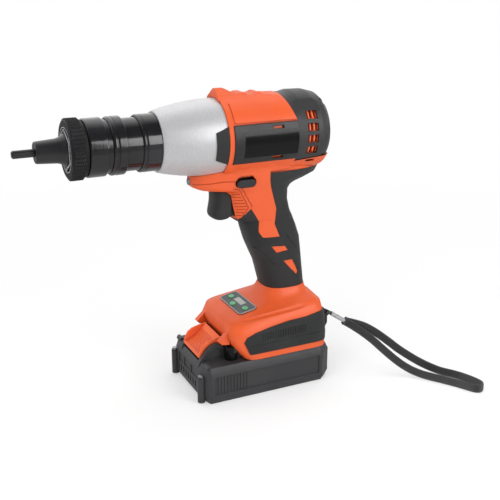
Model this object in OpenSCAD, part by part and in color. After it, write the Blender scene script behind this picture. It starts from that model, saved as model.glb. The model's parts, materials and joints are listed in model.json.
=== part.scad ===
// Cordless riveter for threaded inserts. A brushless motor drives two planetary stages and a draw
// screw that spins the mandrel into the insert and then pulls it. The tool stands on its battery.
// Millimetres, +Z up, nose towards -X, origin at the middle of the battery's base.

/* [Barrel] */
// Height of the barrel's axis above the base of the battery
axis_z = 216; // [212:1:222]
// Outer radius of the barrel housing
barrel_r = 32.6; // [32.6:0.2:34]
// Front edge of the barrel housing, at the seam with the gear case
barrel_front_x = -30.6; // [-32:0.2:-30]
// Length of the barrel housing, up to the rear cap
barrel_l = 59; // [58:0.5:62]
// Length of the rear cap
cap_l = 35.5; // [34:0.5:38]
// How far the seam of the rear cap leans forward at the top
seam_lean = 5.5; // [3:0.5:7]
// Wall of the moulded housings
wall = 2.8; // [2.4:0.1:3]
// Height of the hood over the gear case, above the barrel's radius
hood_h = 5.4; // [3:0.2:6]

/* [Rear cap] */
// Number of vent windows on each side
vent_count = 4; // [2:1:4]
// Height of a vent window
vent_h = 6.2; // [4:0.2:6.6]
// Length of a vent window
vent_l = 9.6; // [7:0.2:11]
// Distance from one vent window to the next
vent_pitch = 9.3; // [9:0.1:9.8]

/* [Side panels] */
// Length of a side panel
panel_l = 55; // [48:0.5:55]
// Height of a side panel
panel_h = 30.6; // [24:0.2:32]
// Thickness of a side panel
panel_t = 1.6; // [1.2:0.1:2]

/* [Gear case] */
// Length of the gear case ahead of the barrel housing
case_l = 50.4; // [49:0.2:54]
// How much smaller the gear case is than the barrel at its rear
case_inset = 2.2; // [1.6:0.1:2.6]
// Radius of the gear case at its front rim
case_front_r = 23.4; // [23.2:0.1:24.4]

/* [Nose] */
// Radius of the collar, lock ring and sleeve
nose_r = 22.2; // [22:0.1:22.8]
// Length of the collar in front of the gear case
collar_l = 14.5; // [13:0.5:18]
// Length of the bare neck between collar and lock ring
neck_l = 12.1; // [9:0.1:14]
// Radius of the neck
neck_r = 20.2; // [19.8:0.1:20.6]
// Length of the lock ring
lock_l = 10.9; // [8:0.1:14]
// Length of the thick front end of the nose sleeve
sleeve_l = 14; // [10:0.2:20]
// Length of the knurled ring
ring_l = 12.7; // [10:0.1:15]
// Radius over the knurling of the ring
ring_r = 23.3; // [23:0.1:24.5]
// Radius of the opening in the front of the knurled ring
ring_mouth_r = 17.2; // [15:0.1:18]
// Number of ribs in the knurling
knurl_count = 48; // [36:1:60]
// Length of the nosepiece in front of the knurled ring
nosepiece_l = 22.8; // [18:0.2:28]
// Radius of the nosepiece at its tip
nosepiece_r = 8.3; // [7:0.1:9]
// Radius of the mandrel over its thread
mandrel_r = 3; // [2:0.1:4]
// Length of the mandrel in front of the nosepiece
mandrel_l = 16.4; // [10:0.2:20]

/* [Drive] */
// Width of a planet gear
gear_w = 8; // [6:0.5:8.5]
// Radius of the draw screw
draw_r = 6; // [5:0.1:6.4]
// Stroke of the draw screw
draw_stroke = 7; // [5:0.5:8]
// Outer radius of the ball nut
nut_r = 14; // [12:0.2:14.6]
// Length of the ball nut
nut_l = 24; // [20:0.5:26]

/* [Motor] */
// Radius of the stator
stator_r = 24; // [22:0.2:25]
// Length of the stator's stack of plates
stator_l = 34; // [28:0.5:36]
// Radius of the rotor
rotor_r = 11; // [9:0.2:11.5]
// Radius of the motor shaft
shaft_r = 3.5; // [3:0.1:3.6]
// How much smaller the cooling fan is than the barrel
fan_inset = 10.6; // [10.2:0.2:12]
// Number of fan blades
blade_count = 11; // [7:1:13]

/* [Grip] */
// Height where the foot ends and the rubber of the grip begins
grip_z = 84; // [82:0.5:86]
// Half the width of the grip
grip_b = 17.6; // [16.6:0.1:19]
// Thickness of the rubber skin
rubber_t = 1.8; // [1.2:0.1:2.2]

/* [Trigger] */
// Width of the trigger
trigger_w = 21; // [18:0.5:22]
// Height of the trigger
trigger_h = 25.4; // [22:0.2:26]
// Travel of the trigger
trigger_travel = 7; // [4:0.5:8]
// Travel of the direction selector to each side
selector_travel = 2; // [1:0.25:2.5]

/* [Foot] */
// Width of the foot
foot_w = 75; // [72:0.5:77]
// Height of the front edge of the foot's top above the battery
foot_front_h = 34; // [32:0.5:36]
// Slope of the foot's top, rise over run
foot_slope = 0.2; // [0.14:0.01:0.24]
// Length of the display panel across the foot
display_w = 40; // [34:0.5:44]
// Width of the display panel
display_l = 15; // [14:0.5:16]
// Travel of a panel button
button_travel = 0.8; // [0.4:0.1:1]

/* [Battery] */
// Width of the battery
battery_w = 78; // [76:0.5:82]
// Length of the flat sides of the battery
battery_l = 104; // [101:0.5:108]
// Height of the battery's sides
battery_h = 32; // [30:0.5:34]
// Wall of the battery case
battery_wall = 2.2; // [1.8:0.1:2.6]
// Diameter of a cell
cell_d = 18.3; // [18:0.1:18.6]
// Length of a cell
cell_l = 65; // [60:0.5:67]
// Travel of the latch button
latch_travel = 3.5; // [2:0.5:4]

/* [Fits] */
// Gap between moulded parts that are screwed together
seam_gap = 0.15; // [0.1:0.05:0.3]
// Clearance around parts that slide
slide_gap = 0.35; // [0.3:0.05:0.5]
// Radial clearance of shafts and pins in their bores
run_gap = 0.05; // [0.03:0.01:0.08]
// Tooth thinning that gives the gears their backlash
backlash = 0.14; // [0.1:0.01:0.2]

/* [Hidden] */
$fn = 64;
// Gap that keeps the rubber skin off the housing under it
skin_gap = 0.03;

// Places along the barrel
seam_x = barrel_front_x + barrel_l;
cap_rear_x = seam_x + cap_l;
case_front_x = barrel_front_x - case_l;
collar_x = case_front_x - collar_l;
neck_x = collar_x - neck_l;
lock_x = neck_x - lock_l;
sleeve_x = lock_x - 3.8;
sleeve_front_x = sleeve_x - sleeve_l;
ring_front_x = sleeve_front_x - 0.6 - ring_l;
nosepiece_x = ring_front_x - nosepiece_l;
mandrel_x = nosepiece_x - mandrel_l;
bore_r = barrel_r - wall;
case_r = barrel_r - case_inset;

// Places along the drive, from the motor plate forward
plate_x = barrel_front_x + 0.3;
plate_t = 5;
stage_1_x = barrel_front_x - 5.5;
disc_t = 3.4;
disc_1_x = stage_1_x - gear_w - 1;
stage_2_x = disc_1_x - disc_t - 1;
disc_2_x = stage_2_x - gear_w - 1;
hub_r = 12.5;
bearing_w = 7;
hub_rear_x = disc_2_x - disc_t;
bearing_x = hub_rear_x - 0.6 - bearing_w;
nut_x = bearing_x - 8.6 - nut_l;
thrust_x = nut_x - 4.2;
holder_l = 16;
holder_r = 9;

// Gears: the tooth numbers give each stage its ratio of five to one, the barrel the size of the teeth
gear_m = barrel_r / 40.75;
ring_bore_r = barrel_r - 10.2;
sun_teeth = 12;
planet_teeth = 18;
ring_teeth = sun_teeth + 2 * planet_teeth;
planet_orbit = gear_m * (sun_teeth + planet_teeth) / 2;
pressure = 20;
addendum = 0.8 * gear_m;
dedendum = 1.1 * gear_m;
disc_r = planet_orbit + 5.2;
pin_r = 2.5;

// Motor
coil_count = 6;
stator_x = -6;
stator_mid = stator_x + stator_l / 2;
fan_x = stator_x + stator_l + 8.4;
fan_w = 8;
fan_r = barrel_r - fan_inset;
rear_bearing_x = cap_rear_x - wall - 0.4 - 6;
vent_x = seam_x + 8.9;
panel_slot_x = 6;

// Foot and grip, section by section: height, front, rear, half width, squareness, slope
foot_z = battery_h + 0.4;
foot_b = foot_w / 2;
top_z = battery_h + foot_front_h;
foot_front_x = -31;
FOOT = [
    [foot_z, -19.5, 58, foot_b, 9, 0],
    [foot_z + 12, -29, 58.6, foot_b, 9, 0],
    [foot_z + 23, -33, 58.4, foot_b - 0.6, 8, 0.05],
    [top_z + 0.5, foot_front_x, 56.6, foot_b - 3, 6, foot_slope - 0.105],
    [top_z + 2.8, foot_front_x + 3, 53.6, foot_b - 6.5, 5, foot_slope - 0.08],
    [top_z + 4.1, foot_front_x + 7, 52, foot_b - 10.5, 4.5, foot_slope - 0.065],
    [top_z + 6.2, 4, 51, grip_b + 5, 3.2, foot_slope - 0.1],
    [grip_z - 5, 9, 49.8, grip_b + 2, 2.8, 0.02],
    [grip_z, 10.8, 49.2, grip_b + 0.6, 2.6, 0],
];
// Horns that reach forward from the foot over the battery's towers
horn_b = 22;
HORN = [
    [foot_front_x + 0.6, battery_h + 26], [foot_front_x - 3.4, battery_h + 22.6],
    [foot_front_x - 9, battery_h + 17.4], [foot_front_x - 6.4, battery_h + 14.8],
    [foot_front_x + 0.6, battery_h + 13.7],
];
function grip_at(u) = grip_z + u * (axis_z - grip_z);
function lowered(rows, z) =
    [for (i = [0:len(rows) - 1]) i ? rows[i] : concat([z], [for (k = [1:5]) rows[0][k]])];
GRIP = [
    [grip_z + seam_gap, 11.2, 48.7, grip_b + 0.6, 2.6, 0],
    [grip_at(0.16), 5.4, 46.6, grip_b, 2.6, 0],
    [grip_at(0.24), 0.6, 45.6, grip_b, 2.6, 0],
    [grip_at(0.32), -4, 44.4, grip_b, 2.6, 0],
    [grip_at(0.40), -7.2, 40.8, grip_b, 2.6, 0],
    [grip_at(0.47), -9.6, 37, grip_b - 0.4, 2.6, 0],
];
GRIP_CORE = lowered(GRIP, grip_z - 6);
HANDLE = [
    [grip_at(0.47), -16.4, 37, grip_b - 0.4, 2.6, 0],
    [grip_at(0.505), -20.6, 35, grip_b - 0.4, 2.7, 0],
    [grip_at(0.58), -22.6, 32.4, grip_b, 2.8, 0],
    [grip_at(0.645), -24.6, 33, grip_b + 0.6, 2.6, 0],
    [grip_at(0.67), -30, 36, grip_b + 1.2, 2.4, 0],
    [grip_at(0.685), -46, 41, grip_b + 1.8, 2.2, 0],
    [grip_at(0.705), -51.6, 49.6, grip_b + 2.4, 2.2, 0],
    [grip_at(0.735), -53.4, 60, grip_b + 3, 2.2, 0],
    [grip_at(0.775), -53.6, 63, grip_b + 3.6, 2.2, 0],
    [grip_at(0.83), -53, 60, grip_b + 4, 2.2, 0],
];

// Side view of what stays hard housing on the handle: guard, arm and the strip under the cap
ARM = [
    [-60, grip_at(0.84)], [-60, grip_at(0.44)], [-17, grip_at(0.468)], [-13.9, grip_at(0.497)],
    [-6, grip_at(0.558)], [1.4, grip_at(0.467)], [1.4, grip_at(0.396)], [5.1, grip_at(0.356)],
    [20, grip_at(0.353)], [15.2, grip_at(0.44)], [16.9, grip_at(0.536)], [9.3, grip_at(0.728)],
    [9.2, grip_at(0.788)], [34.7, grip_at(0.799)], [70, grip_at(0.818)], [70, grip_at(0.84)],
];
WINDOWS = [
    [[12.6, grip_at(0.292)], [24.8, grip_at(0.285)], [27.7, grip_at(0.255)], [17.3, grip_at(0.246)]],
    [[23.6, grip_at(0.186)], [32.2, grip_at(0.186)], [38.2, grip_at(0.097)], [36.3, grip_at(0.079)]],
];

// Screws: places on the parting plane with the half width of the housing there
SCREWS = [
    [36, grip_at(0.752), grip_b], [-37, grip_at(0.735), 12], [24, grip_at(0.628), 12.2],
    [20.5, grip_at(0.415), grip_b], [27, grip_at(0.15), grip_b],
    [-24, battery_h + 18, foot_b - 2], [50, top_z - 8, foot_b - 1],
];
boss_r = 4.4;
cap_boss_r = 3.2;
screw_r = 1.5;
screw_l = 17.4;
screw_seat = 7.4;
screw_head_r = 2.9;
screw_head_h = 2.6;
screw_hole_r = screw_head_r + 0.3;
cap_screw_orbit = barrel_r - 5.2;
CAP_SCREWS = [for (a = [58, 122]) [cap_screw_orbit * cos(a), axis_z + cap_screw_orbit * sin(a)]];
case_screw_orbit = bore_r - screw_head_r - 0.9;
CASE_SCREWS = [for (a = [45:90:315]) [case_screw_orbit * cos(a), axis_z + case_screw_orbit * sin(a)]];

// Trigger and what it works
trigger_top = grip_at(0.668);
trigger_x = -36.6;
trigger_edge = 6.5;
switch_x = -3;
trigger_rear_x = switch_x - trigger_travel - 1;
switch_l = 21;
switch_top = trigger_top + 1;
switch_bottom = grip_at(0.51);
selector_x = -12;
selector_z = grip_at(0.733);

// Battery
cell_count = 5;
battery_front_x = -battery_l / 2;
battery_rear_x = battery_l / 2;
nose_x = battery_front_x - 5.6;
tail_x = battery_rear_x + 10.6;
cell_pitch = cell_d + 0.4;
cell_z = battery_wall + 1.2 + cell_d / 2;
rail_b = 27;
rail_top = battery_h + 12;
latch_b = 17;
latch_wall = 1.4;
latch_angle = 37;

// Crimp of the strap, and places beside its axis
crimp_dir = [0.794, -0.307, -0.525];
crimp_side = [-0.361, -0.933, 0];
crimp_start = [73.4, -15.2, 50.6];
crimp_l = 14;
strand_gap = 1.3;
function at_crimp(along, aside) = crimp_start + along * crimp_dir + aside * crimp_side;
// Middle line of the cord loop, from the crimp round the lug's bar and back
loop_d = 2.2;
LOOP = [
    at_crimp(-0.05, -strand_gap), at_crimp(-2.4, -strand_gap),
    [69.8, -9.8, 52.6], [66.4, -9.2, 52], [63.6, -10.4, 51.2], [62.6, -13, 50.6],
    [62.6, -15.6, 50.6], [63.8, -18, 51], [66.6, -18.8, 51.8], [69.8, -17.8, 52.6],
    at_crimp(-2.4, strand_gap), at_crimp(-0.05, strand_gap),
];
// Middle line of the webbing, out along the far strand and back along the near one
strap_w = 7.6;
strap_t = 2.2;
STRAP = [
    at_crimp(crimp_l + 0.05, -strand_gap), at_crimp(crimp_l + 2.4, -strand_gap),
    [92, -25, 41.4], [98, -31.4, 40], [104, -36.8, 36.6],
    [110, -41.8, 32], [116, -47, 26.8], [122, -52.4, 21.4], [129, -58.6, 16.2], [136, -64.8, 11.6],
    [143, -71, 8], [150, -77.4, 5.4], [157, -84.4, 4.4], [161.6, -91, 4], [164.8, -98.4, 3.9],
    [166.8, -105.6, 3.9], [167.4, -110.8, 3.9], [165.8, -114.6, 3.9], [161.8, -116.2, 3.9],
    [158.4, -114.4, 3.9], [155.6, -110, 3.9], [151.6, -102.4, 3.9], [147.2, -95, 3.9], [142.6, -88, 3.9],
    [137.4, -80.8, 4], [132, -73.6, 4.6], [126, -66.6, 6.8], [120, -59.4, 10.8], [114, -52.6, 16.4],
    [108, -46.2, 22.8], [102, -39.6, 29.4], [96, -33, 34.8], [91, -27, 38.6],
    at_crimp(crimp_l + 2.4, strand_gap), at_crimp(crimp_l + 0.05, strand_gap),
];

module shape_x(points, angle = 360) {
    translate([0, 0, axis_z]) rotate([0, 90, 0]) rotate([0, 0, 180])
        rotate_extrude(angle = angle) polygon([for (p = points) [p[1], p[0]]]);
}

module ring_x(x0, x1, ro, ri) {
    shape_x([[x0, ri], [x1, ri], [x1, ro], [x0, ro]]);
}

module rod_x(x0, x1, r) {
    translate([x0, 0, axis_z]) rotate([0, 90, 0]) cylinder(h = x1 - x0, r = r);
}

module round_x(x0, x1, r, y, z) {
    translate([x0, y, z]) rotate([0, 90, 0]) cylinder(h = x1 - x0, r = r, $fn = 32);
}

module round_y(x, y0, y1, z, r) {
    translate([x, y0, z]) rotate([-90, 0, 0]) cylinder(h = y1 - y0, r = r, $fn = 32);
}

module box(x, y, z) {
    translate([x[0], y[0], z[0]]) cube([x[1] - x[0], y[1] - y[0], z[1] - z[0]]);
}

module side_view(y0, y1, points) {
    translate([0, y1, 0]) rotate([90, 0, 0]) linear_extrude(y1 - y0) polygon(points);
}

module both_sides() {
    children();
    mirror([0, 1, 0]) children();
}

// Rounded section of a moulding: s is taken off all round, from and to are angles seen from above
function part_pow(v, e) = v < 0 ? -pow(-v, e) : pow(v, e);
function section(row, s, steps, from, to) = [
    for (i = [0:steps])
        let (
            t = from + (to - from) * i / steps,
            mid = (row[1] + row[2]) / 2,
            x = mid + ((row[2] - row[1]) / 2 - s) * part_pow(cos(t), 2 / row[4]),
            y = (row[3] - s) * part_pow(sin(t), 2 / row[4])
        )
        [x, y, row[0] + row[5] * x]
];
function flat_list(rows) = [for (row = rows) for (p = row) p];

// Solid through a list of sections with the same number of points
module skin(rows) {
    n = len(rows[0]);
    m = len(rows);
    polyhedron(
        points = flat_list(rows),
        faces = concat(
            [[for (i = [0:n - 1]) i]],
            [for (j = [0:m - 2]) for (i = [0:n - 1])
                let (a = j * n + i, b = j * n + (i + 1) % n) [a, a + n, b]],
            [for (j = [0:m - 2]) for (i = [0:n - 1])
                let (a = j * n + i, b = j * n + (i + 1) % n) [b, a + n, b + n]],
            [[for (i = [0:n - 1]) m * n - 1 - i]]
        )
    );
}

// Near half of a moulding, closed on the parting plane
module half_body(rows, s = 0, steps = 14) {
    skin([for (row = rows) section(row, s, steps, 180, 360)]);
}

// Whole moulding, with no corner of a section on the parting plane
module whole_body(rows, s = 0, steps = 28) {
    skin([for (row = rows) [for (i = [0:steps - 1])
        section(row, s, steps, 180 / steps, 360 + 180 / steps)[i]]]);
}

// Tube along a route, with an oval cross-section turned to keep its width level
function unit(v) = v / norm(v);
function sweep_row(path, i, w, t, sides) =
    let (
        a = path[max(i - 1, 0)], b = path[min(i + 1, len(path) - 1)],
        dir = unit(b - a), side = unit(cross(dir, [0, 0, 1])), up = cross(side, dir)
    )
    [for (k = [0:sides - 1])
        path[i] + side * w / 2 * cos(360 * k / sides) + up * t / 2 * sin(360 * k / sides)];
module sweep(path, w, t, sides = 8) {
    skin([for (i = [0:len(path) - 1]) sweep_row(path, i, w, t, sides)]);
}

// The barrel: a shell of revolution, cut into housing and rear cap
module barrel_solid() {
    shape_x([
        [barrel_front_x, 0], [barrel_front_x, case_r + 1.4], [barrel_front_x + 4, barrel_r],
        [cap_rear_x - 10, barrel_r - 0.4], [cap_rear_x - 5.6, barrel_r - 1.8],
        [cap_rear_x - 2.6, barrel_r - 4.6], [cap_rear_x - 0.8, barrel_r - 8.6],
        [cap_rear_x, barrel_r - 13], [cap_rear_x, 0],
    ]);
}

module barrel_bore() {
    shape_x([
        [barrel_front_x - 1, 0], [barrel_front_x - 1, bore_r], [cap_rear_x - 14, bore_r],
        [cap_rear_x - wall - 5, bore_r - 5.2], [cap_rear_x - wall - 0.4, bore_r - 12],
        [cap_rear_x - wall, 0],
    ]);
}

module cap_zone(s = 0) {
    side_view(-50, 50, [
        [seam_x - s, axis_z - 20.5 - s], [seam_x - s, axis_z + 14],
        [seam_x - seam_lean - s, axis_z + 31], [seam_x - seam_lean - s, axis_z + 60],
        [cap_rear_x + 20, axis_z + 60], [cap_rear_x + 20, axis_z - 16 - s],
    ]);
}

// Crest over the top of the gear case's rear edge, running out into three finger pads
CREST = [[0, hood_h], [2.4, hood_h - 0.4], [5.4, hood_h - 2.8], [8.6, hood_h - 5.6], [12, hood_h - 8.2]];
module hood() {
    intersection() {
        translate([barrel_front_x - 1, 0, axis_z]) rotate([90, 0, 90]) linear_extrude(54)
            polygon(concat(
                [for (c = CREST) [c[0], barrel_r + c[1]]], [[12, 10], [-12, 10]],
                [for (i = [len(CREST) - 1:-1:1]) [-CREST[i][0], barrel_r + CREST[i][1]]]
            ));
        side_view(-30, 30, [for (c = [
            [-0.6, -9], [-0.7, -1.2], [0.2, hood_h - 0.8], [0.9, hood_h], [6.4, hood_h],
            [8.6, hood_h - 0.9], [13.6, 1.6], [17, 0.2], [19.4, 1.5], [25.6, 1.4], [28.6, 0.1],
            [31.4, 1.2], [38.2, 0.8], [42, -0.6], [52, -2], [52, -9],
        ]) [barrel_front_x + c[0], axis_z + barrel_r + c[1]]]);
    }
}
pad_r = 8;
module finger_grooves() {
    for (x = [29, 42, 52.6]) round_y(barrel_front_x + x, -40, 40, axis_z + barrel_r + pad_r - 0.9, pad_r);
}

// Outline of the gear case, s wider all round
case_steps = 8;
function case_line(s) = [
    for (i = [0:case_steps])
        let (u = 1 - i / case_steps)
        [case_front_x + 1 + (case_l - 1) * i / case_steps,
         case_r + s - (case_r - case_front_r - 0.7) * pow(u, 2.1)]
];
module case_space(s) {
    shape_x(concat(
        [[case_front_x - s, 0], [case_front_x - s, case_front_r + s]],
        case_line(s), [[barrel_front_x + seam_gap, 0]]
    ));
}

// Near half of everything that is hard housing, as a solid
module half_solid() {
    intersection() {
        union() {
            barrel_solid();
            hood();
            whole_body(GRIP_CORE, rubber_t);
            whole_body(FOOT);
            intersection() {
                whole_body(HANDLE);
                side_view(-60, 60, ARM);
            }
            whole_body([for (row = HANDLE) [row[0], max(row[1], -24), row[2], row[3], row[4], 0]],
                rubber_t);
            for (w = WINDOWS) intersection() {
                whole_body(GRIP, seam_gap);
                side_view(-60, 60, w);
            }
        }
        translate([-100, -100, 0]) cube([300, 100, 400]);
    }
}

// Room inside the halves
module handle_room() {
    whole_body([for (row = HANDLE) [row[0], max(row[1], -24), min(row[2], 44), row[3], row[4], 0]],
        rubber_t + wall, 20);
    whole_body(lowered(GRIP, top_z), rubber_t + wall, 20);
}

foot_room_rows = [
    [foot_z - 1, FOOT[0][1], FOOT[0][2], foot_b, 9, 0],
    [foot_z + 12, FOOT[1][1], FOOT[1][2], foot_b, 9, 0],
    [foot_z + 22, FOOT[2][1], FOOT[2][2], foot_b - 0.6, 8, 0.05],
    [FOOT[3][0] - 2.3, FOOT[3][1] + 0.5, FOOT[3][2], foot_b - 3, 6, FOOT[3][5]],
    [FOOT[4][0] - 2.6, FOOT[4][1] + 1, FOOT[4][2], foot_b - 7, 5, FOOT[4][5]],
];

// Side view of the black guard round the side and rear of the foot
GUARD = [
    [-16.4, foot_z + 5.4], [-21.6, foot_z + 17], [-19, foot_z + 21], [-11.7, foot_z + 23.8],
    [2.2, foot_z + 26.6], [21, foot_z + 29.2], [36, foot_z + 30], [48, foot_z + 31.6],
    [70, foot_z + 31.6], [70, foot_z + 5.2],
];

module guard_seat() {
    difference() {
        side_view(-60, 1, GUARD);
        whole_body(FOOT, 1.35);
    }
}

module near_of(y = 0) {
    intersection() {
        children();
        translate([-250, -250, -1]) cube([500, 250 + y, 400]);
    }
}

// Place on top of the foot where the display sits, its own Z square to the slope
display_x = -10.5;
display_z = top_z + 5.7 + foot_slope * display_x;
display_angle = atan(foot_slope);
module on_top() {
    translate([display_x, 0, display_z]) rotate([0, -display_angle, 0]) children();
}
display_depth = 1.6;
module display_plate(s, low, high) {
    r = 2;
    on_top() translate([0, 0, low]) linear_extrude(high - low) difference() {
        square([display_l + 2 * s, display_w + 2 * s], center = true);
        for (u = [-1, 1], v = [-1, 1])
            translate([u * (display_l / 2 + s), v * (display_w / 2 + s)]) rotate(45)
                square(r * sqrt(2), center = true);
    }
}
BUTTONS = [[0, 15], [-4.6, 0], [0, -15]];
button_r = 2.5;

module display_seat(s) {
    display_plate(s, -display_depth - 0.1, 6);
    on_top() for (b = BUTTONS) translate([b[0], b[1], -8]) cylinder(h = 8, r = button_r, $fn = 24);
    on_top() translate([-1, -9, -8]) cube([7, 18, 8]);
}

module trigger_space(s) {
    w = trigger_w / 2 + s;
    box([-60, -22.6 + trigger_travel + s], [-w, w], [trigger_top - trigger_h - 3, trigger_top + s]);
    box([-30, -6.5], [-w, w], [trigger_top - trigger_h + 3 - s, trigger_top - 1 + s]);
}

selector_half = 5.2;
module selector_bar(half, grow) {
    translate([selector_x, 0, selector_z]) rotate([90, 0, 0]) linear_extrude(2 * half, center = true) {
        for (u = [-1, 1]) translate([u * selector_half, 0]) circle(r = 3.3 + grow, $fn = 24);
        square([2 * selector_half, 6.6 + 2 * grow], center = true);
    }
}

// Seat of the side panels in the barrel's flanks
module panel_zone(s) {
    box([barrel_front_x + 3.8 - s, barrel_front_x + 3.8 + panel_l + s], [-50, 0],
        [axis_z - 2.4 - panel_h / 2 - s, axis_z - 2.4 + panel_h / 2 + s]);
}
module panel_ring(x0, x1, s) {
    ring_x(x0, x1, barrel_r + 0.6, barrel_r - panel_t + 0.6 - s);
}

lens_z = grip_at(0.74);
lens_r = 3;

// Way that the battery's rail slides along
rail_x = -28;
rail_l = 56;
rail_neck_h = 7;
module rail_way() {
    box([-60, rail_x + rail_l + 1], [-rail_b - 3.4, rail_b + 3.4],
        [battery_h + rail_neck_h - 0.5, rail_top + 0.6]);
    box([-60, rail_x + rail_l + 1], [-rail_b - 0.4, rail_b + 0.4], [foot_z - 2, rail_top]);
}

module x_holes(places, x0, x1, r) {
    for (c = places) round_x(x0, x1, r, c[0], c[1]);
}

module stator_ribs() {
    for (x = [stator_x + 3, stator_x + stator_l - 7])
        ring_x(x, x + 3.5, bore_r + 0.4, stator_r + run_gap);
}

// Bosses, ribs and ledges inside one half
module housing_inside() {
    near_of() {
        stator_ribs();
        intersection() {
            barrel_solid();
            x_holes(CAP_SCREWS, seam_x - 14, seam_x + 1, cap_boss_r);
        }
    }
    for (c = SCREWS) round_y(c[0], -c[2] + wall, 0, c[1], boss_r);
    // Cradle of the trigger switch
    for (x = [switch_x + 2, switch_x + switch_l - 6], z = [switch_bottom + 4, switch_top - 8])
        box([x, x + 4], [-grip_b + rubber_t + 1, -switch_b - 0.1], [z, z + 3]);
    // Rails that carry the battery
    box([-17, 50], [-foot_b + 1.5, -rail_b - 0.8], [foot_z + 2, battery_h + rail_neck_h - 0.8]);
    // Ledges of the terminal block
    for (x = [block_x + 3, block_x + block_l - 7])
        box([x, x + 4], [-foot_b + 1.5, -block_b - 0.1], [block_z + 4, block_z + 12]);
    // Posts that the control board is fixed to
    near_of() on_top() for (u = [-12, 12], v = [-20])
        translate([u, v, board_low + 1.7]) cylinder(h = -board_low - 3, r = 2.2, $fn = 24);
    side_view(-horn_b - 5, -horn_b, HORN);
    // Rear end of the foot's rail way
    box([50, 56], [-foot_b + 3, 0], [foot_z + 0.6, foot_z + 3]);
}

module housing_near(mirrored) {
    difference() {
        union() {
            difference() {
                half_solid();
                barrel_bore();
                handle_room();
                whole_body(foot_room_rows, wall, 28);
            }
            housing_inside();
        }
        cap_zone(seam_gap);
        finger_grooves();
        case_space(seam_gap);
        rod_x(plate_x - 1, plate_x + plate_t + 0.1, bore_r + 0.05);
        trigger_space(slide_gap);
        selector_bar(60, slide_gap);
        intersection() {
            panel_zone(seam_gap);
            ring_x(barrel_front_x, seam_x + 1, barrel_r + 2, barrel_r - panel_t + 0.45);
        }
        display_seat(seam_gap);
        guard_seat();
        round_x(-60, -46, lens_r + 0.05, 0, lens_z);
        rail_way();
        lug_seat();
        for (c = SCREWS) {
            round_y(c[0], screw_seat - screw_l - 0.5, 1, c[1], mirrored ? screw_r + 0.2 : screw_r);
            if (mirrored) round_y(c[0], -60, -screw_seat, c[1], screw_hole_r);
        }
        x_holes(CAP_SCREWS, seam_x - 12, seam_x + 2, screw_r);
    }
}

module housing_left() {
    color("orangered") housing_near(false);
}

module housing_right() {
    color("orangered") mirror([0, 1, 0]) housing_near(true);
}

// One kind of screw: half screws from the right, cap screws from the rear, gear case screws inside
module screw() {
    cylinder(h = screw_l, r = screw_r - 0.02, $fn = 32);
    translate([0, 0, screw_l]) difference() {
        cylinder(h = screw_head_h, r = screw_head_r, $fn = 32);
        for (a = [0, 90]) rotate(a) translate([-1.6, -0.4, 1]) cube([3.2, 0.8, 3]);
    }
}
module screws_x(places, seat_x) {
    for (c = places) translate([seat_x - screw_l, c[0], c[1]]) rotate([0, 90, 0]) screw();
}

module housing_screws() {
    color("dimgray") {
        for (c = SCREWS) translate([c[0], screw_seat - screw_l, c[1]]) rotate([-90, 0, 0]) screw();
        screws_x(CAP_SCREWS, seam_x + screw_seat);
        screws_x(CASE_SCREWS, plate_x + plate_t);
    }
}

// Rear cap with its vents and the pocket of the rear bearing
module vent_windows() {
    for (i = [0:vent_count - 1])
        translate([vent_x, -50, axis_z + 12.9 - i * vent_pitch]) cube([vent_l, 100, vent_h]);
}

// Outside of the cap: a round body with a raised saddle along its top
SADDLE = [[-16.4, 45], [-17.6, 27.6], [-22, 22], [-24, 10], [24, 10], [22, 22], [17.6, 27.6], [16.4, 45]];
module cap_solid() {
    shape_x([
        [seam_x - 10, 0], [seam_x - 10, barrel_r - 0.8], [cap_rear_x - 13, barrel_r - 0.9],
        [cap_rear_x - 8, barrel_r - 2.2], [cap_rear_x - 4, barrel_r - 5.4],
        [cap_rear_x - 1.6, barrel_r - 9.6], [cap_rear_x, barrel_r - 15], [cap_rear_x, 0],
    ]);
    intersection() {
        shape_x([
            [seam_x - 10, 0], [seam_x - 10, barrel_r - 1.4], [seam_x - 1, barrel_r - 1],
            [seam_x + 6, barrel_r + 0.5], [cap_rear_x - 17, barrel_r + 0.2],
            [cap_rear_x - 11, barrel_r - 1.4], [cap_rear_x - 6.6, barrel_r - 4.4],
            [cap_rear_x - 2.8, barrel_r - 8.8], [cap_rear_x, barrel_r - 15], [cap_rear_x, 0],
        ]);
        translate([seam_x - 12, 0, axis_z]) rotate([90, 0, 90]) linear_extrude(60) polygon(SADDLE);
    }
}

module rear_cap() {
    color("dimgray") difference() {
        union() {
            intersection() {
                difference() {
                    cap_solid();
                    barrel_bore();
                }
                cap_zone();
            }
            rod_x(rear_bearing_x - 1, cap_rear_x - 1, 12);
            intersection() {
                cap_solid();
                union() {
                    for (a = [0:60:300]) translate([0, 0, axis_z]) rotate([a, 0, 0])
                        translate([rear_bearing_x + 1.5, 9, -1.1]) cube([6, 20, 2.2]);
                    x_holes(CAP_SCREWS, seam_x - 8, seam_x + 1, cap_boss_r);
                    x_holes(CAP_SCREWS, seam_x + 0.5, cap_rear_x, boss_r);
                }
                cap_zone();
            }
        }
        rod_x(rear_bearing_x - 2, rear_bearing_x + 6.05, 9.5 + 0.02);
        rod_x(rear_bearing_x, rear_bearing_x + 7, 6);
        vent_windows();
        x_holes(CAP_SCREWS, 0, cap_rear_x + 5, screw_r + 0.2);
        x_holes(CAP_SCREWS, seam_x + screw_seat, cap_rear_x + 5, screw_hole_r);
    }
}

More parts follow.
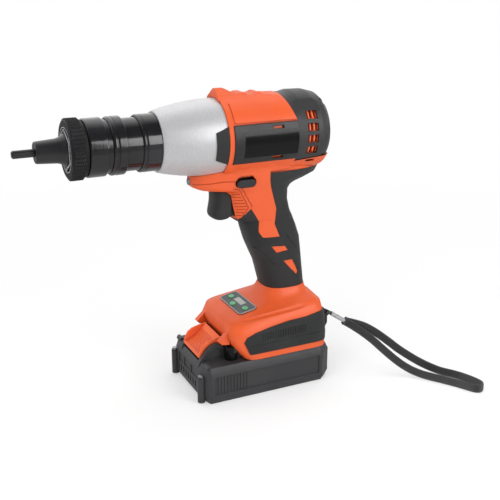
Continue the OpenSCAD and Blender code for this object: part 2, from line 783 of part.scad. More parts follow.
// Louvred liner behind the vent windows, on a flange that is trapped inside the cap
module fan_baffle() {
    slot = (vent_l - 2.8) / 3;
    color("orangered") difference() {
        union() {
            intersection() {
                ring_x(vent_x - 2.5, vent_x + vent_l + 3, bore_r - 0.2, bore_r - 2.2);
                box([0, 70], [-40, 40], [axis_z - 19, axis_z + 22]);
            }
            intersection() {
                ring_x(vent_x + vent_l + 1, vent_x + vent_l + 3, bore_r - 0.2, fan_r + 0.8);
                box([0, 70], [-40, 40], [axis_z - 33, axis_z + 18]);
            }
        }
        for (i = [0:vent_count - 1], k = [0:2])
            translate([vent_x + k * (slot + 1.4), -50, axis_z + 12.9 - i * vent_pitch])
                cube([slot, 100, vent_h]);
        x_holes(CAP_SCREWS, 0, 80, boss_r + 0.3);
    }
}

module side_panel(s) {
    intersection() {
        panel_zone(0);
        difference() {
            panel_ring(barrel_front_x, seam_x, 0);
            for (z = [axis_z - 2.4 - panel_h / 2 + 2.2, axis_z - 2.4 + panel_h / 2 - 4.4])
                box([panel_slot_x, panel_slot_x + 9.3], [-60, 60], [z, z + 2.2]);
        }
    }
}

module side_panel_left() {
    color("black") side_panel();
}

module side_panel_right() {
    color("black") mirror([0, 1, 0]) side_panel();
}

module side_pad() {
    intersection() {
        shape_x(concat(case_line(1.3), [for (i = [0:case_steps]) case_line(0.05)[case_steps - i]]));
        side_view(-50, 0, [
            [barrel_front_x - 0.25, axis_z + 12.2], [barrel_front_x - 10.4, axis_z + 8.4],
            [barrel_front_x - 10.4, axis_z - 13.2], [barrel_front_x - 0.25, axis_z - 17.4],
        ]);
    }
}

module side_pad_left() {
    color("dimgray") side_pad();
}

module side_pad_right() {
    color("dimgray") mirror([0, 1, 0]) side_pad();
}

// Gear case with its bearing seat and ring gear bore
seat_r = 18.5;
module gear_case() {
    color("silver") difference() {
        shape_x(concat(
            [[case_front_x, 0], [case_front_x, case_front_r], [case_front_x + 1, case_front_r + 0.7]],
            case_line(0), [[barrel_front_x - 0.1, 0]]
        ));
        rod_x(case_front_x - 1, bearing_x - 3, nose_r + run_gap);
        rod_x(bearing_x - 4, bearing_x - 0.5, 15);
        rod_x(bearing_x - 0.6, bearing_x + bearing_w + 0.2, seat_r + 0.02);
        rod_x(bearing_x + bearing_w + 0.1, barrel_front_x + 1, ring_bore_r);
        x_holes(CASE_SCREWS, plate_x + plate_t - screw_l - 0.5, barrel_front_x + 1, screw_r);
    }
}

// Plate between motor and gear case, with the front bearing's pocket
module motor_plate() {
    color("silver") difference() {
        union() {
            rod_x(plate_x, plate_x + plate_t, bore_r);
            rod_x(plate_x, plate_x + plate_t + 4, 14);
        }
        rod_x(plate_x - 1, plate_x + 12, 7.5);
        rod_x(plate_x + 1.8, plate_x + 12, 11.02);
        for (a = [0:60:300]) translate([0, 0, axis_z]) rotate([a, 0, 0])
            translate([plate_x - 1, 18.5, 0]) rotate([0, 90, 0]) cylinder(h = 8, r = 2.2, $fn = 24);
        x_holes(CASE_SCREWS, plate_x - 1, plate_x + plate_t + 1, screw_r + 0.2);
    }
}

module ball_bearing(x, w, ri, ro) {
    m = (ri + ro) / 2;
    g = (ro - ri) / 6;
    shape_x([
        [x, ri + run_gap], [x + w, ri + run_gap], [x + w, m - g], [x + w - 0.8, m - g],
        [x + w - 0.8, m + g], [x + w, m + g], [x + w, ro], [x, ro], [x, m + g], [x + 0.8, m + g],
        [x + 0.8, m - g], [x, m - g],
    ]);
}

module front_bearing() {
    color("gainsboro") ball_bearing(plate_x + 1.9, 7, shaft_r, 11);
}

module rear_bearing() {
    color("gainsboro") ball_bearing(rear_bearing_x, 6, shaft_r, 9.5);
}

module output_bearing() {
    color("gainsboro") ball_bearing(bearing_x, bearing_w, hub_r, seat_r);
}

// Involute gear outline; thin is taken off each tooth's width, and rim adds an inner gear's ring
function involute(rb, r) = let (a = acos(min(1, rb / r))) tan(a) * 180 / PI - a;
function flank(n, r, thin) =
    let (rp = gear_m * n / 2, rb = rp * cos(pressure))
    90 / n - thin * 90 / PI / rp + involute(rb, rp) - involute(rb, max(r, rb));
function tooth(n, root, tip, thin) = let (rb = gear_m * n / 2 * cos(pressure), low = max(root, rb + 0.01))
    [for (s = [-1, 1], k = [0:3])
        let (r = s < 0 ? low + (tip - low) * k / 3 : tip - (tip - low) * k / 3) [r, s * flank(n, r, thin)]];
module gear_outline(n, turn = 0) {
    rp = gear_m * n / 2;
    root = rp - dedendum;
    polygon([for (i = [0:n - 1])
        each let (t = tooth(n, root, rp + addendum, backlash), a = turn + 360 * i / n)
            concat([[root * cos(a + t[0][1]), root * sin(a + t[0][1])]],
                [for (p = t) [p[0] * cos(a + p[1]), p[0] * sin(a + p[1])]],
                [[root * cos(a + t[7][1]), root * sin(a + t[7][1])]])]);
}
module inner_outline(n) {
    rp = gear_m * n / 2;
    polygon([for (i = [0:n - 1])
        each let (t = tooth(n, rp - addendum, rp + dedendum, -backlash), a = 360 * (i + 0.5) / n)
            [for (p = t) [p[0] * cos(a + p[1]), p[0] * sin(a + p[1])]]]);
}
module along_x(x0) {
    translate([x0, 0, axis_z]) rotate([0, 90, 0]) children();
}

module ring_gear() {
    color("slategray") along_x(stage_2_x - gear_w - 0.4)
        linear_extrude(stage_1_x - stage_2_x + gear_w + 0.8) difference() {
            circle(r = ring_bore_r - 0.03);
            inner_outline(ring_teeth);
        }
}

module planet(x0, turn) {
    a = 120 * turn;
    along_x(x0 - gear_w) translate([planet_orbit * cos(a), planet_orbit * sin(a), 0])
        linear_extrude(gear_w) difference() {
            gear_outline(planet_teeth, a + 180 / planet_teeth);
            circle(r = pin_r + run_gap, $fn = 32);
        }
}

// Disc with three pins, one under each planet
module carrier_disc(x0) {
    along_x(x0) {
        cylinder(h = disc_t, r = disc_r);
        for (t = [0:2]) rotate([0, 0, 120 * t]) translate([planet_orbit, 0, 0])
            cylinder(h = disc_t + 1 + gear_w, r = pin_r, $fn = 32);
    }
}

module carrier_1() {
    color("lightslategray") {
        carrier_disc(disc_1_x - disc_t);
        along_x(stage_2_x - gear_w) linear_extrude(gear_w + 2) gear_outline(sun_teeth);
    }
}

module carrier_2() {
    color("lightslategray") difference() {
        union() {
            carrier_disc(disc_2_x - disc_t);
            rod_x(nut_x + nut_l, disc_2_x, hub_r);
        }
        rod_x(nut_x + nut_l - 1, disc_2_x - 2.2, draw_r + 1);
    }
}

module planet_1a() {
    color("lightgray") planet(stage_1_x, 0);
}

module planet_1b() {
    color("lightgray") planet(stage_1_x, 1);
}

module planet_1c() {
    color("lightgray") planet(stage_1_x, 2);
}

module planet_2a() {
    color("lightgray") planet(stage_2_x, 0);
}

module planet_2b() {
    color("lightgray") planet(stage_2_x, 1);
}

module planet_2c() {
    color("lightgray") planet(stage_2_x, 2);
}

module ball_nut() {
    color("lightslategray") difference() {
        union() {
            rod_x(nut_x, nut_x + nut_l, nut_r - 1.5);
            rod_x(nut_x + 3, nut_x + nut_l - 4, nut_r);
        }
        rod_x(nut_x - 1, nut_x + nut_l + 1, draw_r + run_gap);
        for (a = [0, 180]) translate([0, 0, axis_z]) rotate([a, 0, 0])
            translate([nut_x + 7, -3, nut_r - 1.6]) cube([nut_l - 15, 6, 4]);
    }
}

module thrust_bearing() {
    color("gainsboro") ball_bearing(thrust_x + 0.1, 4, draw_r + 2, nut_r + 0.8);
}

module draw_screw() {
    color("gray") rod_x(holder_rear_x - 7.4, nut_x + nut_l + 3, draw_r);
}

// Nose: holder, mandrel, nosepiece, sleeve, rings and collar
holder_front_x = sleeve_front_x + 0.2;
holder_rear_x = holder_front_x + holder_l;
shank_r = mandrel_r - 0.5;
module mandrel_holder() {
    color("gray") difference() {
        union() {
            rod_x(holder_front_x, holder_rear_x - 5, holder_r);
            along_x(holder_rear_x - 5) rotate(30) cylinder(h = 5, r = holder_r + 0.3, $fn = 6);
        }
        rod_x(holder_front_x - 1, holder_rear_x, shank_r + run_gap);
        rod_x(holder_front_x + 5, holder_rear_x - 7, 5.05);
        rod_x(holder_rear_x - 7.5, holder_rear_x + 1, draw_r + 0.02);
    }
}

module mandrel() {
    color("dimgray") {
        rod_x(mandrel_x + 1, nosepiece_x - 0.2, mandrel_r);
        rod_x(nosepiece_x - 0.3, holder_front_x + 6, shank_r);
        shape_x([
            [mandrel_x, 0], [mandrel_x, mandrel_r - 0.8], [mandrel_x + 1, mandrel_r], [mandrel_x + 1, 0],
        ]);
        along_x(holder_front_x + 5.1) cylinder(h = 3, r = 4.9, $fn = 6);
    }
}

hex_r = 13.4;
module nosepiece() {
    color("dimgray") difference() {
        union() {
            shape_x([
                [nosepiece_x, 0], [nosepiece_x, nosepiece_r - 0.6], [nosepiece_x + 0.6, nosepiece_r],
                [ring_front_x - 3, nosepiece_r + 1.1], [ring_front_x + 0.4, nosepiece_r + 4],
                [ring_front_x + 0.4, 0],
            ]);
            along_x(ring_front_x + 0.2) cylinder(h = 6.3, r = hex_r, $fn = 6);
            rod_x(ring_front_x + 6, sleeve_front_x - 0.6, 9.5);
        }
        rod_x(nosepiece_x - 1, sleeve_front_x, mandrel_r + 0.25);
    }
}

module knurled_ring() {
    color("dimgray") difference() {
        union() {
            shape_x([
                [ring_front_x, 0], [ring_front_x, ring_r - 2], [ring_front_x + 0.8, ring_r - 1],
                [ring_front_x + ring_l - 2.6, ring_r - 1], [ring_front_x + ring_l, ring_r - 2.2],
                [ring_front_x + ring_l, 0],
            ]);
            along_x(ring_front_x + 1) linear_extrude(ring_l - 3.8) polygon([
                for (i = [0:2 * knurl_count - 1])
                    let (a = 180 * i / knurl_count, r = i % 2 ? ring_r : ring_r - 0.7)
                    [r * cos(a), r * sin(a)]
            ]);
        }
        rod_x(ring_front_x - 1, ring_front_x + 3, ring_mouth_r);
        rod_x(ring_front_x + 2.6, ring_front_x + ring_l + 1, spigot_r + run_gap);
    }
}

spigot_r = 19.4;
module nose_sleeve() {
    color("dimgray") difference() {
        shape_x([
            [ring_front_x + 6.6, 0], [ring_front_x + 6.6, spigot_r - 0.8], [ring_front_x + 7.4, spigot_r],
            [sleeve_front_x, spigot_r], [sleeve_front_x, nose_r - 0.7],
            [sleeve_front_x + 0.7, nose_r], [sleeve_x - 0.5, nose_r], [sleeve_x, nose_r - 0.5],
            [sleeve_x, neck_r], [sleeve_rear_x, neck_r], [sleeve_rear_x, 0],
        ]);
        rod_x(ring_front_x, sleeve_front_x - 0.4, 9.5 + 0.02);
        rod_x(sleeve_front_x - 0.5, thrust_x + 1, 11);
        rod_x(thrust_x, sleeve_rear_x + 1, nut_r + 1);
    }
}

module lock_ring() {
    color("black") shape_x([
        [lock_x, neck_r + run_gap], [neck_x, neck_r + run_gap], [neck_x, nose_r - 0.5],
        [neck_x - 0.6, nose_r + 0.1], [lock_x + 4.2, nose_r + 0.1], [lock_x + 3.8, nose_r - 0.5],
        [lock_x + 3.2, nose_r - 0.5], [lock_x + 2.8, nose_r + 0.1],
        [lock_x + 1, nose_r + 0.1], [lock_x, nose_r - 0.9],
    ]);
}

sleeve_rear_x = case_front_x - 2;
module collar() {
    color("black") shape_x([
        [collar_x, neck_r + 0.02], [collar_x, nose_r - 0.6], [collar_x + 0.6, nose_r],
        [collar_x + 2, nose_r], [collar_x + 2, nose_r - 0.6], [collar_x + 2.8, nose_r - 0.6],
        [collar_x + 2.8, nose_r], [bearing_x - 3.1, nose_r], [bearing_x - 3.1, nut_r + 1.2],
        [sleeve_rear_x + 0.05, nut_r + 1.2], [sleeve_rear_x + 0.05, neck_r + 0.02],
    ]);
}

// Motor
module stator_core() {
    color("slategray") along_x(stator_x) linear_extrude(stator_l) {
        difference() {
            circle(r = stator_r);
            circle(r = stator_r - 2.8);
        }
        for (i = [0:coil_count - 1]) rotate(360 * i / coil_count) {
            translate([rotor_r + 1.2, -2.5]) square([stator_r - rotor_r - 3, 5]);
            intersection() {
                difference() {
                    circle(r = rotor_r + 2);
                    circle(r = rotor_r + 0.5);
                }
                translate([0, -5]) square([20, 10]);
            }
        }
    }
}

module stator_coils() {
    low = rotor_r + 2.4;
    high = stator_r - 3.9;
    color("peru") along_x(stator_x) for (i = [0:coil_count - 1]) rotate(360 * i / coil_count) difference() {
        translate([low, -5.4, -5]) cube([high - low, 10.8, stator_l + 10]);
        translate([low - 1, -2.6, -0.1]) cube([high - low + 2, 5.2, stator_l + 0.2]);
    }
}

module rotor() {
    color("lightslategray") {
        rod_x(stage_1_x - 2, rear_bearing_x + 6, shaft_r);
        rod_x(stator_x, stator_x + stator_l, rotor_r);
        rod_x(stator_x - 3, stator_x + stator_l + 4, 6);
        along_x(stage_1_x - gear_w) linear_extrude(gear_w + 1) gear_outline(sun_teeth);
    }
}

module fan() {
    color("black") difference() {
        union() {
            rod_x(fan_x - 1, fan_x + fan_w, 7);
            rod_x(fan_x, fan_x + 1.4, fan_r);
            for (i = [0:blade_count - 1]) translate([0, 0, axis_z]) rotate([360 * i / blade_count, 0, 0])
                translate([fan_x + 0.5, 8.5, 0]) rotate([18, 0, 0])
                    translate([0, -3, -0.6]) cube([fan_w - 1, fan_r - 8, 1.2]);
        }
        rod_x(fan_x - 2, fan_x + fan_w + 1, shaft_r + 0.01);
    }
}

// Rubber skin of one half of the grip and of the tail under the cap
module grip_half() {
    difference() {
        union() {
            half_body(GRIP);
            half_body([for (row = HANDLE) if (row[0] < grip_at(0.8)) row]);
        }
        whole_body(GRIP_CORE, rubber_t - skin_gap);
        whole_body([for (row = HANDLE) [row[0], max(row[1], -24), row[2], row[3], row[4], 0]],
            rubber_t - skin_gap);
        side_view(-60, 1, ARM);
        for (w = WINDOWS) side_view(-60, 1, w);
        trigger_space(slide_gap);
        box([-80, 80], [-60, 60], [grip_at(0.82), axis_z]);
        barrel_solid();
    }
}

module grip_left() {
    color("dimgray") grip_half();
}

module grip_right() {
    color("dimgray") difference() {
        mirror([0, 1, 0]) grip_half();
        for (c = SCREWS) round_y(c[0], screw_seat, 60, c[1], screw_hole_r);
    }
}

// Trigger, its spring and its switch
module trigger() {
    low = trigger_top - trigger_h;
    w = trigger_w / 2;
    color("dimgray") {
        intersection() {
            side_view(-w, w, [
                [-22.6, low + 0.4], [-22.6, trigger_top], [trigger_x + 1, trigger_top],
                [trigger_x + 1.5, trigger_top - 5], [trigger_x + 1.2, trigger_top - 9],
                [trigger_x + 0.4, trigger_top - 14], [trigger_x, trigger_top - 18.6],
                [trigger_x + 0.8, low + 3.6], [trigger_x + 2.8, low + 1.5],
                [trigger_x + 6, low + 0.4], [trigger_x + 10, low],
            ]);
            translate([0, 0, low]) linear_extrude(trigger_h) {
                for (v = [-1, 1]) translate([trigger_x + trigger_edge, v * (w - trigger_edge)])
                    circle(r = trigger_edge, $fn = 48);
                translate([trigger_x, trigger_edge - w]) square([14, trigger_w - 2 * trigger_edge]);
                translate([trigger_x + trigger_edge, -w]) square([14, trigger_w]);
            }
        }
        box([-22.7, trigger_rear_x], [-w + 2, w - 2], [low + 4, trigger_top - 2]);
        round_x(trigger_rear_x, switch_x + 2, 2.4, 0, plunger_z);
    }
}

plunger_z = (switch_bottom + switch_top) / 2;
switch_b = 9.6;
module trigger_switch() {
    color("black") difference() {
        union() {
            box([switch_x, switch_x + switch_l], [-switch_b, switch_b], [switch_bottom, switch_top]);
            box([switch_x + 2, switch_x + switch_l - 4], [-4, 4], [switch_bottom - 5, switch_bottom + 1]);
        }
        translate([switch_x - 1, 0, plunger_z]) rotate([0, 90, 0]) cylinder(h = 14, r = 2.8, $fn = 32);
    }
}

// Helical spring along X between the trigger and the switch
function helix(x0, x1, r, turns) = [
    for (i = [0:turns * 10]) [x0 + (x1 - x0) * i / turns / 10, r * cos(36 * i), r * sin(36 * i)]
];
module coil(path, r, sides = 6) {
    skin([for (i = [0:len(path) - 1])
        let (a = unit([0, path[i][1], path[i][2]]))
        [for (k = [0:sides - 1])
            path[i] + r * (cos(360 * k / sides) * a + sin(360 * k / sides) * [1, 0, 0])]]);
}
module trigger_spring() {
    color("silver") translate([0, 0, plunger_z])
        coil(helix(trigger_rear_x + 0.4, switch_x - 0.4, 4.4, 6), 0.45);
}

module selector() {
    color("black") {
        selector_bar(grip_b + 4, 0);
    }
}

module led_lens() {
    color("white") round_x(-53.8, -46.1, lens_r, 0, lens_z);
}

// Black guard round the foot, with a lug at the rear of the near half for the wrist strap
module foot_guard() {
    difference() {
        intersection() {
            half_body(FOOT, -0.5);
            side_view(-60, 0, GUARD);
        }
        whole_body(lowered(FOOT, foot_z - 3), 1.2);
    }
}

module foot_guard_left() {
    color("dimgray") difference() {
        foot_guard();
        lug_seat();
    }
}

module foot_guard_right() {
    color("dimgray") difference() {
        mirror([0, 1, 0]) foot_guard();
        for (c = SCREWS) round_y(c[0], screw_seat, 60, c[1], screw_hole_r);
    }
}

lug_y = -14;
lug_t = 6;
lug_x = 56.4;
lug_out = 68.6;
lug_low = foot_z + 6;
lug_h = 20;
module lug_block(s) {
    side_view(lug_y - lug_t / 2 - s, lug_y + lug_t / 2 + s, [
        [lug_x - s, lug_low - s], [lug_out - 3, lug_low - s], [lug_out + s, lug_low + 5],
        [lug_out + s, lug_low + lug_h - 5], [lug_out - 4, lug_low + lug_h + s],
        [lug_x - s, lug_low + lug_h + s],
    ]);
}
module lug_seat() {
    intersection() {
        lug_block(seam_gap);
        box([lug_x - 1, lug_x + 12], [-40, 0], [0, 100]);
    }
}
module strap_lug() {
    color("dimgray") difference() {
        lug_block(0);
        hull() for (z = [lug_low + 5, lug_low + lug_h - 6])
            translate([lug_out - 6, lug_y - 10, z]) rotate([-90, 0, 0]) cylinder(h = 20, r = 2.6, $fn = 24);
    }
}

// Display panel and its three buttons
lcd_w = 15;
module display_panel() {
    color("dimgray") difference() {
        display_plate(0, -display_depth, 0.5);
        on_top() for (b = BUTTONS) translate([b[0], b[1], -3])
            cylinder(h = 6, r = button_r + 0.15, $fn = 24);
        on_top() translate([1, -lcd_w / 2, 0]) cube([5.6, lcd_w, 2]);
    }
}

board_low = -9.5;
board_l = 28;
board_w = 48;
module button(k) {
    on_top() translate([BUTTONS[k][0], BUTTONS[k][1], 0]) {
        translate([0, 0, -1]) cylinder(h = 2.4, r = button_r - 0.15, $fn = 24);
        translate([0, 0, board_low + 1.6 + 0.6 + button_travel])
            cylinder(h = -board_low - 2.6 - button_travel, r = 1.2, $fn = 16);
    }
}

module button_up() {
    color("limegreen") button(0);
}

module button_down() {
    color("limegreen") button(1);
}

module button_set() {
    color("limegreen") button(2);
}

module control_board() {
    color("darkgreen") on_top() {
        translate([-board_l / 2, -board_w / 2, board_low]) cube([board_l, board_w, 1.6]);
        translate([0, 0.5 - lcd_w / 2, board_low + 1.5]) cube([5, lcd_w - 1, -board_low - 5]);
        for (b = BUTTONS) translate([b[0] - 2, b[1] - 2, board_low + 1.5]) cube([4, 4, 0.6]);
    }
}

// Terminal block with three blades that reach into the battery's slots
block_x = 30;
block_l = 18;
block_b = 26;
block_z = battery_h + 3;
blade_y = [-16, 0, 16];
module terminal_block() {
    color("black") {
        box([block_x, block_x + block_l], [-block_b, block_b], [block_z, rail_top + 5]);
        for (y = blade_y) box([rail_x + rail_l - 14, block_x + 1], [y - 0.4, y + 0.4],
            [battery_h + 5, rail_top - 3]);
    }
}

// Battery: case, cover with rails and two towers, cells and latch button
function plan(s) = [
    [battery_front_x, -battery_w / 2 + s], [battery_rear_x, -battery_w / 2 + s],
    [tail_x - s, -battery_w / 2 + 9.5], [tail_x - s, battery_w / 2 - 9.5],
    [battery_rear_x, battery_w / 2 - s], [battery_front_x, battery_w / 2 - s],
    [nose_x + 1.4 + s, battery_w / 2 - 7], [nose_x + s, battery_w / 2 - 14],
    [nose_x + s, -battery_w / 2 + 14], [nose_x + 1.4 + s, -battery_w / 2 + 7],
];
split_z = 6.4;
module slab(z0, z1, s) {
    translate([0, 0, z0]) linear_extrude(z1 - z0) polygon(plan(s));
}

module cell_room(s) {
    for (i = [0:cell_count - 1])
        round_y((i - (cell_count - 1) / 2) * cell_pitch, -cell_l / 2 - s, cell_l / 2 + s,
            cell_z, cell_d / 2 + s);
}

module battery_case() {
    color("dimgray") difference() {
        union() {
            hull() {
                slab(0, 0.1, 2.6);
                slab(4.6, split_z, 0);
            }
            for (v = [-1, 1]) case_bolt(-1, v, 3.2, 0.8, split_z);
        }
        cell_room(0.3);
        for (u = [-1, 1], v = [-1, 1]) case_bolt(u, v, 1.7, -1, split_z + 1);
    }
}

module case_bolt(u, v, r, z0, z1) {
    translate([u < 0 ? nose_x - 0.4 : tail_x - 4.5, v * (u < 0 ? 30 : 26), z0])
        cylinder(h = z1 - z0, r = r, $fn = 24);
}

TOWER = [
    [nose_x + 1, battery_h - 4], [nose_x + 2.4, battery_h + 0.4], [nose_x + 6, battery_h + 5.6],
    [nose_x + 9, battery_h + 9.8], [nose_x + 13, battery_h + 12.6], [nose_x + 17.6, battery_h + 13.8],
    [nose_x + 21, battery_h + 12.8], [nose_x + 24.4, battery_h + 10], [nose_x + 26, battery_h - 3],
];
tower_t = 3.6;
post_h = 16.4;
module battery_cover() {
    x = cell_pitch * cell_count / 2 + 0.4;
    color("dimgray") difference() {
        union() {
            hull() {
                slab(split_z, battery_h - 6.6, 0);
                slab(battery_h - 0.1, battery_h, 3.4);
            }
            box([rail_x, rail_x + rail_l], [-rail_b, rail_b], [battery_h - 1, rail_top]);
            box([rail_x, rail_x + rail_l], [-rail_b - 3, rail_b + 3], [battery_h + rail_neck_h, rail_top]);
            both_sides() {
                side_view(latch_b + 0.5, latch_b + 0.5 + tower_t, TOWER);
                side_view(rail_b, battery_w / 2 - 4, [
                    [nose_x + 3, battery_h - 1], [nose_x + 4.2, battery_h + 1.8],
                    [nose_x + 6.4, battery_h + 1.8], [nose_x + 8.4, battery_h - 1],
                ]);
                translate([nose_x - 0.4, 30, split_z]) cylinder(h = post_h, r = 3.2, $fn = 32);
                translate([nose_x - 0.4, 30, split_z]) cylinder(h = post_h + 2, r = 2.4, $fn = 32);
            }
        }
        box([-x, x], [-cell_l / 2 - 0.4, cell_l / 2 + 0.4], [split_z - 1, battery_h - 2.4]);
        side_view(-latch_b - 0.5, latch_b + 0.5, [
            [nose_x - 4, battery_h + 1.2], [nose_x + 2.8, battery_h + 1.2], [nose_x + 3.4, battery_h - 1.6],
            [nose_x + 9.4, battery_h - 1.6], [rail_x - 0.5, battery_h + 11],
            [rail_x - 0.5, battery_h + 30], [nose_x - 4, battery_h + 30],
        ]);
        for (y = blade_y) box([rail_x + rail_l - 15, rail_x + rail_l + 1], [y - 0.9, y + 0.9],
            [battery_h + 4, rail_top + 1]);
        for (u = [-1, 1], v = [-1, 1]) case_bolt(u, v, 1.3, split_z - 1, battery_h - 8);
    }
}

module battery_cells() {
    color("steelblue") cell_room(0);
}

// Latch: an arched button with a scoop between two thin side walls
SCOOP = [
    [nose_x + 3.6, battery_h + 4.6], [nose_x + 6.6, battery_h + 5.4], [nose_x + 10, battery_h + 6.9],
    [nose_x + 13.6, battery_h + 9], [nose_x + 17, battery_h + 11.8], [nose_x + 20.2, battery_h + 14.8],
    [nose_x + 23.4, battery_h + 18],
];
module battery_latch() {
    color("orangered") difference() {
        side_view(-latch_b, latch_b, [
            [nose_x + 4.2, battery_h + 1.4], [nose_x + 3, battery_h + 2.2], [nose_x + 3.2, battery_h + 5],
            [nose_x + 4.4, battery_h + 8.4], [nose_x + 6.5, battery_h + 12.1],
            [nose_x + 10.7, battery_h + 15], [nose_x + 17, battery_h + 16.6],
            [nose_x + 23.4, battery_h + 17.4], [nose_x + 23.4, battery_h + 12.2],
            [nose_x + 13.6, battery_h + 5.7], [nose_x + 9.6, battery_h + 3.1],
        ]);
        side_view(latch_wall - latch_b, latch_b - latch_wall,
            concat(SCOOP, [
                [nose_x + 23.5, battery_h + 30], [nose_x - 3, battery_h + 30], [nose_x - 3, battery_h + 4.6],
            ]));
    }
}

// Strap: a cord loop through the lug, a crimp, and a loop of webbing that stands on its edge
module strap_loop() {
    color("black") sweep(LOOP, loop_d, loop_d);
}

module strap_crimp() {
    color("silver") sweep([crimp_start, at_crimp(crimp_l, 0)], 5.6, 4);
}

module wrist_strap() {
    color("black") sweep(STRAP, strap_t, strap_w);
}

housing_left();
housing_right();
housing_screws();
rear_cap();
fan_baffle();
side_panel_left();
side_panel_right();
side_pad_left();
side_pad_right();
gear_case();
motor_plate();
ring_gear();
carrier_1();
planet_1a();
planet_1b();
planet_1c();
carrier_2();
planet_2a();
planet_2b();
planet_2c();
output_bearing();
ball_nut();
thrust_bearing();
draw_screw();
mandrel_holder();
mandrel();
nosepiece();
knurled_ring();
nose_sleeve();
lock_ring();
collar();
stator_core();
stator_coils();
rotor();
fan();
front_bearing();
rear_bearing();
grip_left();
grip_right();
trigger();
trigger_spring();
trigger_switch();
selector();
led_lens();
foot_guard_left();
foot_guard_right();
display_panel();
button_up();
button_down();
button_set();
control_board();
terminal_block();
battery_case();
battery_cover();
battery_cells();
battery_latch();
strap_lug();
strap_loop();
strap_crimp();
wrist_strap();
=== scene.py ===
import json
import math
import bpy
import bmesh
from mathutils import Matrix, Vector
from mathutils.bvhtree import BVHTree


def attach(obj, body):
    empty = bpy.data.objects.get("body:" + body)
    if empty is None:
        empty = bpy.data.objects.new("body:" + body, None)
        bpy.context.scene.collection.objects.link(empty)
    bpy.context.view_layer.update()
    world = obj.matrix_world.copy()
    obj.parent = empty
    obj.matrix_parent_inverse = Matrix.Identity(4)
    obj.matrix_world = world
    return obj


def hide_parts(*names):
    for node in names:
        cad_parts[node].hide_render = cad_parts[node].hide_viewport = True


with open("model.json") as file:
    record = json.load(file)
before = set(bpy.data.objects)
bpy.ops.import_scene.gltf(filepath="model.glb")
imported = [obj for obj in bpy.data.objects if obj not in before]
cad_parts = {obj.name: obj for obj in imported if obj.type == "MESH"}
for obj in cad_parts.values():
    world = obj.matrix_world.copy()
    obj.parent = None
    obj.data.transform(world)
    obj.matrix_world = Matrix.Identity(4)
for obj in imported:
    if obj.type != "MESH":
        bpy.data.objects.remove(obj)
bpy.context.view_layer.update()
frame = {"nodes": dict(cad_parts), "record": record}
cadNodes = frame["nodes"]
bodyOfNode = {n: b for b, names in frame["record"]["behaviour"]["bodies"].items() for n in names}
mm = 0.001
axisZ = 216.0  # height of the barrel's axis


# camera
cameraSettings = {"place": (-0.29197, -0.61525, 0.35054), "azimuth": -25.4557, "elevation": 18.9935, "lens": 61.345}


def makeCamera():
    data = bpy.data.cameras.new("camera")
    data.lens = cameraSettings["lens"]
    data.sensor_width = 36
    camera = bpy.data.objects.new("camera", data)
    bpy.context.scene.collection.objects.link(camera)
    a = math.radians(cameraSettings["azimuth"])
    e = math.radians(cameraSettings["elevation"])
    back = Vector((math.sin(a) * math.cos(e), -math.cos(a) * math.cos(e), math.sin(e)))
    right = Vector((math.cos(a), math.sin(a), 0))
    up = back.cross(right)
    turn = Matrix((right, up, back)).transposed().to_4x4()
    camera.matrix_world = Matrix.Translation(cameraSettings["place"]) @ turn
    bpy.context.scene.camera = camera


makeCamera()
print("camera ready")


# materials
def linear(r, g, b):
    # colour as picked on screen, 0 to 255, to the values that the shader takes
    return tuple(((c / 255 + 0.055) / 1.055) ** 2.4 if c > 10 else c / 255 / 12.92 for c in (r, g, b)) + (1.0,)


def dimmed(colour, share):
    return tuple(c * share for c in colour[:3]) + (1,)


